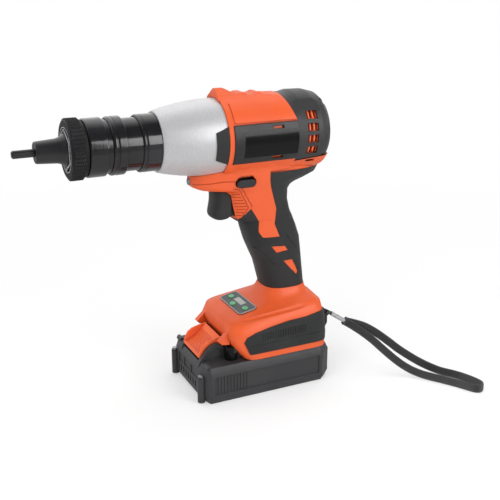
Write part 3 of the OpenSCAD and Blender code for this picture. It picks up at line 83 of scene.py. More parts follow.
class Finish:
    # a material under way: the shader, and the height that its bump adds up
    def __init__(self, name, colour, rough, metallic=0.0, **shader):
        self.material = bpy.data.materials.new(name)
        self.material.use_nodes = True
        self.tree = self.material.node_tree
        self.shader = self.tree.nodes["Principled BSDF"]
        self.height = None
        self.set("Base Color", colour)
        self.set("Roughness", rough)
        self.set("Metallic", metallic)
        for key, value in shader.items():
            self.set(key.replace("_", " "), value)
        coords = self.add("ShaderNodeTexCoord")
        self.coords = coords.outputs["Object"]
        self.uv = coords.outputs["UV"]

    def set(self, socket, value):
        self.shader.inputs[socket].default_value = value

    def add(self, kind, **values):
        node = self.tree.nodes.new(kind)
        for key, value in values.items():
            setattr(node, key, value)
        return node

    def link(self, start, end):
        self.tree.links.new(start, end)

    def place(self, scale, turn=(0, 0, 0)):
        node = self.add("ShaderNodeMapping")
        node.inputs["Scale"].default_value = scale
        node.inputs["Rotation"].default_value = [math.radians(t) for t in turn]
        self.link(self.coords, node.inputs["Vector"])
        return node.outputs["Vector"]

    def noise(self, scale, detail=2.0, rough=0.5, vector=None):
        node = self.add("ShaderNodeTexNoise")
        node.inputs["Scale"].default_value = scale
        node.inputs["Detail"].default_value = detail
        node.inputs["Roughness"].default_value = rough
        self.link(vector or self.coords, node.inputs["Vector"])
        return node.outputs["Fac"]

    def cells(self, scale):
        node = self.add("ShaderNodeTexVoronoi")
        node.inputs["Scale"].default_value = scale
        self.link(self.coords, node.inputs["Vector"])
        return node.outputs["Distance"]

    def waves(self, scale, direction="X", shape="SIN", vector=None, distortion=0.0):
        node = self.add("ShaderNodeTexWave", bands_direction=direction, wave_profile=shape)
        node.inputs["Scale"].default_value = scale
        node.inputs["Distortion"].default_value = distortion
        self.link(vector or self.coords, node.inputs["Vector"])
        return node.outputs["Fac"]

    def spread(self, value, low, high, outLow=0.0, outHigh=1.0):
        node = self.add("ShaderNodeMapRange")
        for key, number in (("From Min", low), ("From Max", high), ("To Min", outLow), ("To Max", outHigh)):
            node.inputs[key].default_value = number
        self.link(value, node.inputs["Value"])
        return node.outputs["Result"]

    def maths(self, how, a, b):
        node = self.add("ShaderNodeMath", operation=how)
        for socket, value in zip(node.inputs, (a, b)):
            if isinstance(value, (int, float)):
                socket.default_value = value
            else:
                self.link(value, socket)
        return node.outputs["Value"]

    def tint(self, amount, other, share=1.0):
        # mixes another colour in where amount is high
        node = self.add("ShaderNodeMix", data_type="RGBA")
        factor = self.spread(amount, 0.0, 1.0, 0.0, share)
        self.link(factor, node.inputs["Factor"])
        current = self.shader.inputs["Base Color"]
        if current.is_linked:
            self.link(current.links[0].from_socket, node.inputs[6])
        else:
            node.inputs[6].default_value = current.default_value
        node.inputs[7].default_value = other
        self.link(node.outputs[2], current)

    def roughBetween(self, amount, low, high):
        self.link(self.spread(amount, 0.3, 0.7, low, high), self.shader.inputs["Roughness"])

    def bump(self, height, amount):
        scaled = self.maths("MULTIPLY", height, amount)
        self.height = scaled if self.height is None else self.maths("ADD", self.height, scaled)

    def paintedCreviceShade(self, colour, share, reach=0.0016):
        # painted shade: grooves and joints are darkened where an ambient occlusion node finds them hemmed in
        node = self.add("ShaderNodeAmbientOcclusion", samples=4)
        node.inputs["Distance"].default_value = reach
        self.tint(self.spread(node.outputs["AO"], 0.92, 0.45), colour, share)

    def done(self, distance=0.0002, edge=0.0):
        if self.height is not None:
            node = self.add("ShaderNodeBump")
            if edge:
                # moulded edges catch light over a small radius
                soft = self.add("ShaderNodeBevel", samples=6)
                soft.inputs["Radius"].default_value = edge
                self.link(soft.outputs["Normal"], node.inputs["Normal"])
            node.inputs["Distance"].default_value = distance
            node.inputs["Strength"].default_value = 1.0
            self.link(self.height, node.inputs["Height"])
            self.link(node.outputs["Normal"], self.shader.inputs["Normal"])
        return self.material


def mouldedPlastic(name, colour, darker, lighter, rough, grain, specular=0.5, edge=0.0005, shade=0.8):
    # fine spark texture, slow colour drift, faint scuffs that shine, painted shade in grooves and joints
    colour, darker, lighter = linear(*colour), linear(*darker), linear(*lighter)
    f = Finish(name, colour, rough, Specular_IOR_Level=specular)
    drift = f.noise(22, 3)
    f.tint(f.spread(drift, 0.45, 0.7), darker, 0.35)
    scuff = f.noise(60, 6, 0.7, f.place((1, 0.25, 2.2), (20, 0, 35)))
    f.tint(f.spread(scuff, 0.62, 0.72), lighter, 0.10)
    # painted shade: darker in grooves and joints, by the share given as shade
    f.paintedCreviceShade(dimmed(darker, 0.25), shade)
    f.roughBetween(f.noise(45, 4), rough - 0.05, rough + 0.06)
    f.bump(f.noise(2600, 2), grain)
    f.bump(f.cells(3400), grain * 0.6)
    f.bump(drift, 0.6)
    return f.done(edge=edge)


def softRubber(name, colour, dusty, rough):
    dusty = linear(*dusty)
    f = Finish(name, linear(*colour), rough, Specular_IOR_Level=0.35, Sheen_Weight=0.12, Sheen_Roughness=0.4)
    f.tint(f.spread(f.noise(30, 4), 0.45, 0.75), dusty, 0.5)
    f.tint(f.spread(f.noise(700, 3), 0.55, 0.8), dusty, 0.25)
    # painted shade: darker in grooves and joints
    f.paintedCreviceShade(linear(14, 14, 15), 0.55)
    f.roughBetween(f.noise(40, 4), rough - 0.06, rough + 0.06)
    f.bump(f.noise(3000, 3), 0.5)
    f.bump(f.cells(2400), 0.4)
    return f.done(edge=0.0006)


def glossSteel(name, colour, rough, coat=0.45):
    # black oxide, turned: faint rings round the barrel's axis and a few fine handling marks
    f = Finish(name, linear(*colour), rough, Specular_IOR_Level=0.6, Coat_Weight=coat, Coat_Roughness=0.05)
    rings = f.noise(900, 2, 0.5, f.place((1, 0.01, 0.01)))
    f.tint(f.spread(f.noise(25, 3), 0.45, 0.7), linear(46, 46, 50), 0.5)
    f.roughBetween(f.noise(60, 5, 0.6, f.place((1, 0.4, 0.4))), rough - 0.04, rough + 0.07)
    f.bump(rings, 0.25)
    f.bump(f.noise(150, 5), 0.12)
    return f.done()


def knurled():
    # crossed diagonal cuts on the rim, matt black oxide
    f = Finish("knurledSteel", linear(24, 24, 26), 0.5, Specular_IOR_Level=0.4)
    one = f.waves(260, "X", "TRI", f.place((1, 1, 1), (0, 0, 40)))
    two = f.waves(260, "X", "TRI", f.place((1, 1, 1), (0, 0, -40)))
    f.tint(f.maths("MULTIPLY", one, two), linear(42, 42, 44), 0.5)
    f.roughBetween(f.noise(300, 3), 0.45, 0.6)
    f.bump(f.maths("MULTIPLY", one, two), 1.0)
    f.bump(f.noise(1500, 3), 0.4)
    return f.done(0.0003)


def metal(name, colour, rough, rings=0.3, blotch=None):
    colour = linear(*colour)
    f = Finish(name, colour, rough, 1.0)
    f.tint(f.spread(f.noise(40, 4), 0.45, 0.75), linear(*blotch) if blotch else dimmed(colour, 0.8), 0.5)
    f.roughBetween(f.noise(70, 4), rough - 0.05, rough + 0.08)
    f.bump(f.noise(1200, 2, 0.5, f.place((1, 0.02, 0.02))), rings)
    f.bump(f.noise(500, 3), 0.2)
    return f.done()


orange = (225, 90, 39)
orangeDark = (212, 78, 32)
orangePale = (246, 146, 104)
black = (38, 38, 40)
blackPale = (92, 92, 96)
plasticSettings = {
    # colour, darker and lighter patches, roughness, grain; then specular, edge radius and share of painted shade in
    # grooves
    "orangeShell": (orange, orangeDark, orangePale, 0.40, 0.30),
    # painted light: lighter orange than the shell, with less painted shade in its grooves, as the latch is lit more
    "orangeTrim": ((244, 108, 60), orangeDark, orangePale, 0.44, 0.30, 0.5, 0.0005, 0.4),
    "blackShell": (black, (26, 26, 28), blackPale, 0.40, 0.45),
    "blackPanel": ((40, 40, 42), (30, 30, 32), blackPale, 0.36, 0.3),
    "capShell": ((52, 52, 53), black, blackPale, 0.40, 0.45),
    "selectorShell": ((44, 44, 46), (34, 34, 36), blackPale, 0.36, 0.3, 0.5, 0.0012),
    "glossPanel": ((15, 15, 16), (10, 10, 11), (50, 50, 54), 0.14, 0.04, 0.3, 0.0001),
    "displayFace": ((58, 64, 66), (46, 52, 54), (96, 100, 104), 0.35, 0.1),
    "paleRim": ((158, 158, 158), (138, 138, 140), (190, 190, 192), 0.4, 0.1),
    "liquidCrystal": ((172, 173, 168), (150, 152, 150), (196, 198, 192), 0.12, 0.02),
    "batteryShell": ((56, 56, 58), (42, 42, 44), (96, 96, 100), 0.36, 0.5, 0.5, 0.0005, 0.5),
    "greenKey": ((96, 176, 124), (66, 146, 92), (190, 230, 200), 0.4, 0.2),
    "board": ((28, 92, 48), (18, 66, 34), (120, 170, 120), 0.4, 0.2),
}
rubberSettings = {
    # colour, dusty patches, roughness
    "guardRubber": ((40, 41, 41), (58, 59, 60), 0.55),
    "blackRubber": ((40, 41, 41), (56, 57, 58), 0.55),
}
blackSteelSettings = {
    # colour, roughness, oily coat
    "blackSteel": ((24, 24, 26), 0.16),
    "satinBlack": ((34, 34, 36), 0.34, 0.25),
}
metalSettings = {
    # colour, roughness, turned rings, darker patches
    "gearSteel": ((168, 170, 174), 0.28),
    "bearingSteel": ((205, 207, 210), 0.14, 0.15),
    "rawAluminium": ((196, 197, 200), 0.30, 0.5),
    "copperWire": ((190, 112, 66), 0.32, 0.6, (150, 80, 44)),
    "screwSteel": ((62, 62, 64), 0.38, 0.3),
    "cellSleeve": ((110, 138, 168), 0.42, 0.2),
}


def silverPaint():
    # metallic lacquer: fine flake, slight orange peel, soft shine
    f = Finish("silverPaint", linear(220, 220, 222), 0.48, 0.55, Coat_Weight=0.1, Coat_Roughness=0.3)
    f.tint(f.spread(f.noise(5200, 1), 0.5, 0.75), linear(214, 214, 216), 0.6)
    f.tint(f.spread(f.noise(16, 3), 0.45, 0.75), linear(190, 190, 192), 0.3)
    f.tint(f.spread(f.noise(1500, 3, 0.6, f.place((1, 0.3, 0.3))), 0.4, 0.7), linear(180, 180, 182), 0.3)
    f.roughBetween(f.noise(35, 4), 0.44, 0.52)
    f.bump(f.noise(700, 2), 0.12)
    f.bump(f.noise(4200, 2), 0.10)
    return f.done()


def clearLens():
    f = Finish("clearLens", (0.9, 0.93, 0.96, 1), 0.08, IOR=1.5, Transmission_Weight=0.85)
    f.tint(f.spread(f.noise(120, 3), 0.45, 0.75), (0.78, 0.82, 0.86, 1), 0.4)
    f.bump(f.noise(400, 2), 0.15)
    return f.done()


def paintedGlintSteel():
    # painted highlight: pale grey that stands in for the reflection on the black oxide's bright edges
    f = Finish("paintedGlintSteel", linear(182, 183, 186), 0.4, 0.15, Specular_IOR_Level=0.6)
    f.tint(f.spread(f.noise(160, 4), 0.4, 0.7), linear(112, 112, 116), 0.5)
    f.roughBetween(f.noise(240, 3), 0.3, 0.5)
    f.bump(f.noise(900, 3), 0.3)
    return f.done()


def webbingFinish():
    # woven rows across and twill along, from the strap's own UV map in millimetres
    f = Finish("webbing", linear(30, 30, 32), 0.78, Sheen_Weight=0.35, Sheen_Roughness=0.5, Specular_IOR_Level=0.3)
    rows = f.waves(0.62, "X", "SIN", f.uv)
    threads = f.waves(0.9, "DIAGONAL", "TRI", f.uv, 0.4)
    f.tint(f.maths("MULTIPLY", rows, threads), linear(84, 84, 88), 0.5)
    f.tint(f.spread(f.noise(90, 4), 0.5, 0.75), linear(56, 56, 60), 0.5)
    f.bump(rows, 0.9)
    f.bump(threads, 0.8)
    return f.done(0.0003)


def cordFinish():
    f = Finish("cordBraid", linear(28, 28, 30), 0.7, Sheen_Weight=0.3, Sheen_Roughness=0.5)
    braid = f.maths("MULTIPLY", f.waves(0.7, "DIAGONAL", "SIN", f.uv), f.waves(0.7, "X", "SIN", f.uv))
    f.tint(braid, linear(80, 80, 84), 0.5)
    f.bump(braid, 0.9)
    return f.done(0.0002)


def crimpFinish():
    f = Finish("crimpPlastic", linear(196, 198, 202), 0.28, IOR=1.45, Transmission_Weight=0.45)
    f.tint(f.spread(f.noise(260, 4), 0.45, 0.75), linear(140, 142, 148), 0.6)
    f.roughBetween(f.noise(300, 3), 0.2, 0.4)
    f.bump(f.noise(700, 3), 0.4)
    return f.done()


finishes = {}
for maker, settings in ((mouldedPlastic, plasticSettings), (softRubber, rubberSettings),
                        (glossSteel, blackSteelSettings), (metal, metalSettings)):
    for name, values in settings.items():
        finishes[name] = maker(name, *values)
for maker in (knurled, silverPaint, clearLens, paintedGlintSteel, webbingFinish, cordFinish, crimpFinish):
    material = maker()
    finishes[material.name] = material
print("materials ready")


# making pieces
def camelCase(node):
    first, *rest = node.split("_")
    return first + "".join(word.title() for word in rest)


def finishPiece(node, bm, finish, angle=36, trim=None):
    # stands in for its node, or is a piece of trim that rides with it; shaded smooth up to the angle
    name = trim or camelCase(node)
    for face in bm.faces:
        face.smooth = True
    for edge in bm.edges:
        edge.smooth = len(edge.link_faces) == 2 and edge.calc_face_angle(0) < math.radians(angle)
    mesh = bpy.data.meshes.new(name)
    bm.to_mesh(mesh)
    bm.free()
    piece = bpy.data.objects.new(name, mesh)
    bpy.context.scene.collection.objects.link(piece)
    piece.data.materials.append(finishes[finish])
    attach(piece, bodyOfNode[node])
    if not trim:
        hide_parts(node)
    return piece


def smoothCopy(node, finish, angle=36):
    return finishPiece(node, cadCopy(node), finish, angle)


def tidyNormals(bm):
    bmesh.ops.remove_doubles(bm, verts=bm.verts, dist=0.00001)
    bmesh.ops.recalc_face_normals(bm, faces=bm.faces)


def roundEdges(bm, amount, angle, segments):
    # bevels every edge sharper than the angle
    edges = [e for e in bm.edges if len(e.link_faces) == 2 and e.calc_face_angle(0) > math.radians(angle)]
    bmesh.ops.bevel(bm, geom=edges, offset=amount * mm, offset_type="OFFSET", affect="EDGES",
                    segments=segments, profile=0.5, material=-1, clamp_overlap=True)


def addBox(bm, x, y, z):
    made = bmesh.ops.create_cube(bm, size=1.0)["verts"]
    size = Matrix.Diagonal(((x[1] - x[0]) * mm, (y[1] - y[0]) * mm, (z[1] - z[0]) * mm, 1.0))
    middle = Vector(((x[0] + x[1]) / 2, (y[0] + y[1]) / 2, (z[0] + z[1]) / 2)) * mm
    bmesh.ops.transform(bm, matrix=Matrix.Translation(middle) @ size, verts=made)
    return made


def addRod(bm, start, end, r, segments=32):
    a, b = Vector(start) * mm, Vector(end) * mm
    turn = (b - a).to_track_quat("Z", "Y").to_matrix().to_4x4()
    made = bmesh.ops.create_cone(bm, cap_ends=True, segments=segments, radius1=r * mm, radius2=r * mm,
                                 depth=(b - a).length, matrix=Matrix.Translation((a + b) / 2) @ turn)
    return made["verts"]


def addTubes(bm, routes, r, resolution=2):
    # round bars along routes of points in millimetres
    data = bpy.data.curves.new("route", "CURVE")
    data.dimensions = "3D"
    data.bevel_depth = r * mm
    data.bevel_resolution = resolution
    data.use_fill_caps = True
    for route in routes:
        line = data.splines.new("POLY")
        line.points.add(len(route) - 1)
        for point, place in zip(line.points, route):
            point.co = [c * mm for c in place] + [1.0]
    holder = bpy.data.objects.new("route", data)
    mesh = bpy.data.meshes.new_from_object(holder)
    bm.from_mesh(mesh)
    bpy.data.objects.remove(holder)
    bpy.data.curves.remove(data)
    bpy.data.meshes.remove(mesh)
    tidyNormals(bm)


def combined(bm, other, how="DIFFERENCE"):
    # bm with the other shape cut out of it, or what the two share
    holders = []
    for part in (bm, other):
        mesh = bpy.data.meshes.new("shape")
        part.to_mesh(mesh)
        part.free()
        holders.append(bpy.data.objects.new("shape", mesh))
        bpy.context.scene.collection.objects.link(holders[-1])
    change = holders[0].modifiers.new("shape", "BOOLEAN")
    change.operation = how
    change.solver = "EXACT"
    change.use_self = True
    change.object = holders[1]
    result = bpy.data.meshes.new_from_object(holders[0].evaluated_get(bpy.context.evaluated_depsgraph_get()))
    made = bmesh.new()
    made.from_mesh(result)
    for holder in holders:
        mesh = holder.data
        bpy.data.objects.remove(holder)
        bpy.data.meshes.remove(mesh)
    bpy.data.meshes.remove(result)
    bmesh.ops.remove_doubles(made, verts=made.verts, dist=0.000002)
    return made


def onlyVerts(made):
    return [g for g in made if isinstance(g, bmesh.types.BMVert)]


def sliced(bm, axis, places):
    # new edges where planes square to the axis cross the piece
    for place in places:
        bmesh.ops.bisect_plane(bm, geom=bm.verts[:] + bm.edges[:] + bm.faces[:], dist=0.000001,
                               plane_co=[c * place * mm for c in axis], plane_no=axis)


def moved(bm, matrix):
    bmesh.ops.transform(bm, matrix=matrix, verts=bm.verts)
    return bm


def cadCopy(node):
    bm = bmesh.new()
    bm.from_mesh(cadNodes[node].data)
    bmesh.ops.remove_doubles(bm, verts=bm.verts, dist=0.00002)
    return bm


def sideOf(side, tool):
    # turns a cutter made for the near side to the far side
    if side > 0:
        bmesh.ops.scale(tool, vec=(1, -1, 1), verts=tool.verts)
        bmesh.ops.reverse_faces(tool, faces=tool.faces)
    return tool


def spun(profile, steps=96):
    # profile of (x, radius) in millimetres, turned round the barrel's axis
    bm = bmesh.new()
    verts = [bm.verts.new((x * mm, 0, (axisZ + r) * mm)) for x, r in profile]
    edges = [bm.edges.new(pair) for pair in zip(verts, verts[1:] + verts[:1])]
    bmesh.ops.spin(bm, geom=verts + edges, cent=(0, 0, axisZ * mm), axis=(1, 0, 0), dvec=(0, 0, 0),
                   angle=2 * math.pi, steps=steps, use_merge=True, use_duplicate=False)
    tidyNormals(bm)
    return bm


# strap: cord loop, crimp and webbing
strapDetail = {
    # width, thickness, squareness of the section, points round it
    "cord": (2.2, 2.2, 2.0, 12), "webbing": (7.4, 2.0, 3.4, 20),
    "girth": 2.2,  # way round, in widths
}
crimpDir = Vector((0.794, -0.307, -0.525))
crimpSide = Vector((-0.361, -0.933, 0.0))
crimpStart = Vector((73.4, -15.2, 50.6))


def atCrimp(along, aside):
    return crimpStart + along * crimpDir + aside * crimpSide


loopPoints = [
    atCrimp(-0.05, -1.3), atCrimp(-2.4, -1.3), (69.8, -9.8, 52.6), (66.4, -9.2, 52), (63.6, -10.4, 51.2),
    (62.6, -13, 50.6), (62.6, -15.6, 50.6), (63.8, -18, 51), (66.6, -18.8, 51.8), (69.8, -17.8, 52.6),
    atCrimp(-2.4, 1.3), atCrimp(-0.05, 1.3),
]
strapPoints = [
    atCrimp(14.05, -1.3), atCrimp(16.4, -1.3), (92, -25, 41.4), (98, -31.4, 40), (104, -36.8, 36.6),
    (110, -41.8, 32), (116, -47, 26.8), (122, -52.4, 21.4), (129, -58.6, 16.2), (136, -64.8, 11.6),
    (143, -71, 8), (150, -77.4, 5.4), (157, -84.4, 4.4), (161.6, -91, 4), (164.8, -98.4, 3.9),
    (166.8, -105.6, 3.9), (167.4, -110.8, 3.9), (165.8, -114.6, 3.9), (161.8, -116.2, 3.9),
    (158.4, -114.4, 3.9), (155.6, -110, 3.9), (151.6, -102.4, 3.9), (147.2, -95, 3.9), (142.6, -88, 3.9),
    (137.4, -80.8, 4), (132, -73.6, 4.6), (126, -66.6, 6.8), (120, -59.4, 10.8), (114, -52.6, 16.4),
    (108, -46.2, 22.8), (102, -39.6, 29.4), (96, -33, 34.8), (91, -27, 38.6), atCrimp(16.4, 1.3),
    atCrimp(14.05, 1.3),
]


def smoothRoute(points, parts):
    # curve through the points, in metres
    pts = [Vector(p) * mm for p in points]
    pts = [2 * pts[0] - pts[1]] + pts + [2 * pts[-1] - pts[-2]]
    route = []
    for a, b, c, d in zip(pts, pts[1:], pts[2:], pts[3:]):
        for k in range(parts):
            t = k / parts
            route.append(0.5 * (2 * b + (c - a) * t + (2 * a - 5 * b + 4 * c - d) * t ** 2
                                + (3 * b - 3 * c + d - a) * t ** 3))
    return route + [pts[-2]]


def routeLength(route):
    return sum((b - a).length for a, b in zip(route, route[1:]))


def sweptBand(node, route, finish, width, thick, power, around):
    # band along a route, standing on edge; UV runs in millimetres along and round it
    bm = bmesh.new()
    uvLayer = bm.loops.layers.uv.new("uv")
    rings = []
    along = 0.0
    for i, point in enumerate(route):
        way = (route[min(i + 1, len(route) - 1)] - route[max(i - 1, 0)]).normalized()
        side = way.cross(Vector((0, 0, 1))).normalized()
        up = side.cross(way)
        ring = bmesh.ops.create_circle(bm, segments=around, radius=1.0)["verts"]
        for k, vert in enumerate(ring):
            c, s = math.cos(2 * math.pi * k / around), math.sin(2 * math.pi * k / around)
            a = math.copysign(abs(c) ** (2 / power), c) * thick / 2 * mm
            b = math.copysign(abs(s) ** (2 / power), s) * width / 2 * mm
            vert.co = point + side * a + up * b
        if i:
            along += (point - route[i - 1]).length / mm
        rings.append((ring, along))
    for (ringA, u0), (ringB, u1) in zip(rings, rings[1:]):
        for k in range(around):
            n = (k + 1) % around
            face = bm.faces.new((ringA[k], ringA[n], ringB[n], ringB[k]))
            for loop, (u, v) in zip(face.loops, ((u0, k), (u0, k + 1), (u1, k + 1), (u1, k))):
                loop[uvLayer].uv = (u, v * width * strapDetail["girth"] / around)
    for ring, _ in (rings[0], rings[-1]):
        bm.faces.new(ring)
    bmesh.ops.recalc_face_normals(bm, faces=bm.faces)
    return finishPiece(node, bm, finish, 60)


loopRoute = smoothRoute(loopPoints, 4)
strapRoute = smoothRoute(strapPoints, 4)
strapLoop = sweptBand("strap_loop", loopRoute, "cordBraid", *strapDetail["cord"])
wristStrap = sweptBand("wrist_strap", strapRoute, "webbing", *strapDetail["webbing"])
strapCrimp = smoothCopy("strap_crimp", "crimpPlastic")
print("loop", routeLength(loopRoute), "strap", routeLength(strapRoute))
print("cords ready")


# nodes that keep their shape
keptNodes = {
    "gearSteel": (
        "ring_gear", "carrier_1", "carrier_2", "planet_1a", "planet_1b", "planet_1c", "planet_2a", "planet_2b",
        "planet_2c", "ball_nut", "draw_screw", "mandrel_holder", "stator_core", "rotor"),
    "bearingSteel": ("output_bearing", "thrust_bearing", "front_bearing", "rear_bearing", "trigger_spring"),
    "rawAluminium": ("motor_plate",),
    "copperWire": ("stator_coils",),
    "cellSleeve": ("battery_cells",),
    "screwSteel": ("housing_screws",),
    "blackShell": ("fan", "trigger_switch", "terminal_block"),
    "board": ("control_board",),
    "orangeTrim": ("fan_baffle",),
}
for finish, nodes in keptNodes.items():
    for node in nodes:
        slots = cadNodes[node].material_slots
        if not slots:
            cadNodes[node].data.materials.append(finishes[finish])
        for entry in slots:
            entry.material = finishes[finish]


# finding places on a CAD node's outside
treeOf = {}


def treeFor(node):
    if node not in treeOf:
        bm = cadCopy(node)
        treeOf[node] = BVHTree.FromBMesh(bm)
        bm.free()
    return treeOf[node]


def nearSide(node, x, z):
    # where a line along +Y meets the near side, or a place outside it
    place = treeFor(node).ray_cast(Vector((x * mm, -0.2, z * mm)), Vector((0, 1, 0)))[0]
    return place / mm if place else Vector((x, -30, z))


def follow(node, points, step=1.4, lift=0.0):
    # route over the surface through the points; a point of two numbers is x and z on the near side
    full = [Vector(p) if len(p) == 3 else nearSide(node, *p) for p in points]
    route = []
    for a, b in zip(full, full[1:]):
        parts = max(1, round((b - a).length / step))
        route += [a.lerp(b, k / parts) for k in range(parts)]
    route.append(full[-1])
    found = [treeFor(node).find_nearest(p * mm) for p in route]
    return [place / mm + normal * lift for place, normal, _, _ in found]


sides = {"left": -1, "right": 1}  # which way each lies along Y


def carved(node, cutter):
    return combined(cadCopy(node), cutter)


def bothSides(node, cutter, finish, angle=36, blend=False):
    # the left piece, and the right one as its mirror image
    for end, side in sides.items():
        own = node + "_" + end
        bm = carved(own, sideOf(side, cutter()))
        if blend:
            withoutStep(bm)
        finishPiece(own, bm, finish, angle)


# handle: its lower and upper body meet in a small step, drawn out here over a few millimetres
handleBlend = {
    "step": 146.04, "low": 139.0, "high": 154.0, "front": (-7, 1), "reach": 0.3,
    "cuts": (141, 143, 144.5, 147.5, 149, 151, 152.5),
    # height, front, rear, half width and roundness of the sections
    "lower": [(136.8, -7.2, 40.8, 17.6, 2.6), (146.04, -9.6, 37, 17.2, 2.6)],
    "upper": [(146.04, -16.4, 37, 17.2, 2.6), (150.66, -20.6, 35, 17.2, 2.7), (160.56, -22.6, 32.4, 17.6, 2.8)],
}


def handleWidth(rows, x, z):
    # half width of the body between two of its sections
    a, b = next(((a, b) for a, b in zip(rows, rows[1:]) if z <= b[0]), (rows[-2], rows[-1]))
    t = (z - a[0]) / (b[0] - a[0])
    x0, x1, wide, power = (p + (q - p) * t for p, q in zip(a[1:], b[1:]))
    u = abs(x - (x0 + x1) / 2) / ((x1 - x0) / 2)
    return wide * (1 - u ** power) ** (1 / power) if u < 1 else 0.0


def blendedWidth(x, z):
    # half width once the step is drawn out
    d = handleBlend
    if z <= d["low"]:
        return handleWidth(d["lower"], x, z)
    low, high = handleWidth(d["lower"], x, d["low"]), handleWidth(d["upper"], x, d["high"])
    return low + (high - low) * (z - d["low"]) / (d["high"] - d["low"])


def withoutStep(bm):
    d = handleBlend
    sliced(bm, (0, 0, 1), d["cuts"])
    for vert in bm.verts:
        x, y, z = vert.co / mm
        if not d["low"] < z < d["high"] or x < d["front"][0] or not handleWidth(d["upper"], x, d["high"]):
            continue
        both = [handleWidth(d[rows], x, z) for rows in ("lower", "upper")]
        own = both[z > d["step"]]
        if abs(z - d["step"]) < 0.05:
            own = min(both, key=lambda w: abs(w - abs(y)))
        if own and abs(abs(y) - own) < d["reach"]:
            # less towards the front, where the guard hides the step
            part = min(1, (x - d["front"][0]) / (d["front"][1] - d["front"][0]))
            vert.co.y = math.copysign(abs(y) + (blendedWidth(x, z) - own) * part, y) * mm
    bmesh.ops.remove_doubles(bm, verts=bm.verts, dist=0.000005)


# housings: grooves, ribs beside the trigger, crease of the foot, slit under the cap, recess of the selector
housingDetail = {
    "groove": 0.5,
    "grooveLines": [
        [(-15.4, 176.2), (-9.9, 167.7), (-5.4, 159.4)],
        [(-17.9, 176), (-12.7, 168), (-8.4, 159), (-10.4, 155), (-12.6, 151.4)],
        [(-51.6, -4.4, 180.1), (-49, -8.4, 180.4), (-42.5, -13, 181.1), (-30.3, -17.3, 182.5), (-21.4, -19.1, 182.2)],
    ],
    "rib": 0.5, "ribCount": 10, "ribTop": 175.6, "ribPitch": 2.62, "ribTurn": 159, "ribShort": 1.0,
    "ribFront": ((-16.5, 150.7), (-22.25, 175.7)),
    "ribRear": (((-17.9, 176), (-8.295, 159)), ((-8.6, 159), (-13.9, 149))),  # over and under the turn
    "band": 0.55,
    "bandLine": [(-25.6, -17, 243.6), (-25.9, -23.1, 239), (-26.1, -27.4, 234), (-25.8, -29.6, 230.6),
                 (-23, -29.8, 230.3), (28.9, -29.5, 229.9)],
    "crease": 3.0, "creaseLift": 2.0, "creaseFade": 4, "creaseOut": (0, -0.125, 0.125),
    "creaseLine": [(-24.4, -29.2, 64.9), (-7.7, -31, 67.7), (7.5, -31.5, 69.2), (21.3, -32.1, 70.3),
                   (34.5, -32.7, 71.2), (40, -32.2, 71.7)],
    "slit": ((39.3, 47), (-34, -15), (193.5, 195.4)),
    "recess": 3.9, "recessEnds": (-15.6, -8.4), "recessDeep": (-30, -17.6), "recessRods": (183.4, 182.2),
    "recessHigh": (178.4, 186.3),
}


def alongLine(line, z):
    (x0, z0), (x1, z1) = line
    return x0 + (x1 - x0) * (z - z0) / (z1 - z0)


def housingCutter():
    d = housingDetail
    node = "housing_left"
    cutter = bmesh.new()
    addTubes(cutter, [follow(node, line) for line in d["grooveLines"]], d["groove"])
    ribs = []
    for k in range(d["ribCount"]):
        z = d["ribTop"] - k * d["ribPitch"]
        rear = alongLine(d["ribRear"][z <= d["ribTurn"]], z) - d["ribShort"]
        ribs.append(follow(node, [(alongLine(d["ribFront"], z), z), (rear, z)]))
    addTubes(cutter, ribs, d["rib"])
    addTubes(cutter, [follow(node, d["bandLine"])], d["band"])
    crease = follow(node, d["creaseLine"], 2.5, d["creaseLift"])
    for k in range(d["creaseFade"]):
        # both ends run out of the surface
        for point in (crease[k], crease[-1 - k]):
            point += Vector(d["creaseOut"]) * (d["creaseFade"] - k) ** 1.5
    addTubes(cutter, [crease], d["crease"], 4)
    addBox(cutter, *d["slit"])
    for x in d["recessEnds"]:
        outer, inner = zip(d["recessDeep"], d["recessRods"])
        addRod(cutter, (x, *outer), (x, *inner), d["recess"])
    addBox(cutter, d["recessEnds"], d["recessDeep"], d["recessHigh"])
    tidyNormals(cutter)
    return cutter


bothSides("housing", housingCutter, "orangeShell", 48, True)


# inlays: the lower end of the arm lies flush between the grip skins
insetDetail = {
    "outline": [(1.1, 146.0), (1.5, 145.4), (1.5, 136.4), (5.2, 131.1), (19.8, 130.7), (15.1, 142.1), (15.7, 146.0)],
    "deep": 15.2, "across": (3.5, 6, 8.5, 11, 13.5, 16), "up": (133, 136, 138.5, 141, 143, 144.6), "sunk": 0.06,
}


def armInset(end, side):
    d = insetDetail
    bm = bmesh.new()
    bm.faces.new([bm.verts.new((x * mm, side * d["deep"] * mm, z * mm)) for x, z in d["outline"]])
    sliced(bm, (1, 0, 0), d["across"])
    sliced(bm, (0, 0, 1), d["up"])
    for vert in onlyVerts(bmesh.ops.extrude_face_region(bm, geom=bm.faces[:])["geom"]):
        x, _, z = vert.co / mm
        vert.co.y = side * (blendedWidth(x, z) - d["sunk"]) * mm
    bmesh.ops.recalc_face_normals(bm, faces=bm.faces)
    finishPiece("housing_" + end, bm, "orangeShell", 48, "armInset" + end.title())


for end, side in sides.items():
    armInset(end, side)
print("housings ready")


# label plates on the side panels
plateDetail = {
    "outer": 33.27, "thick": 0.3, "left": -18.6, "right": 28.2, "low": 203.2, "high": 223.6, "cut": 2.2, "reach": 60,
}


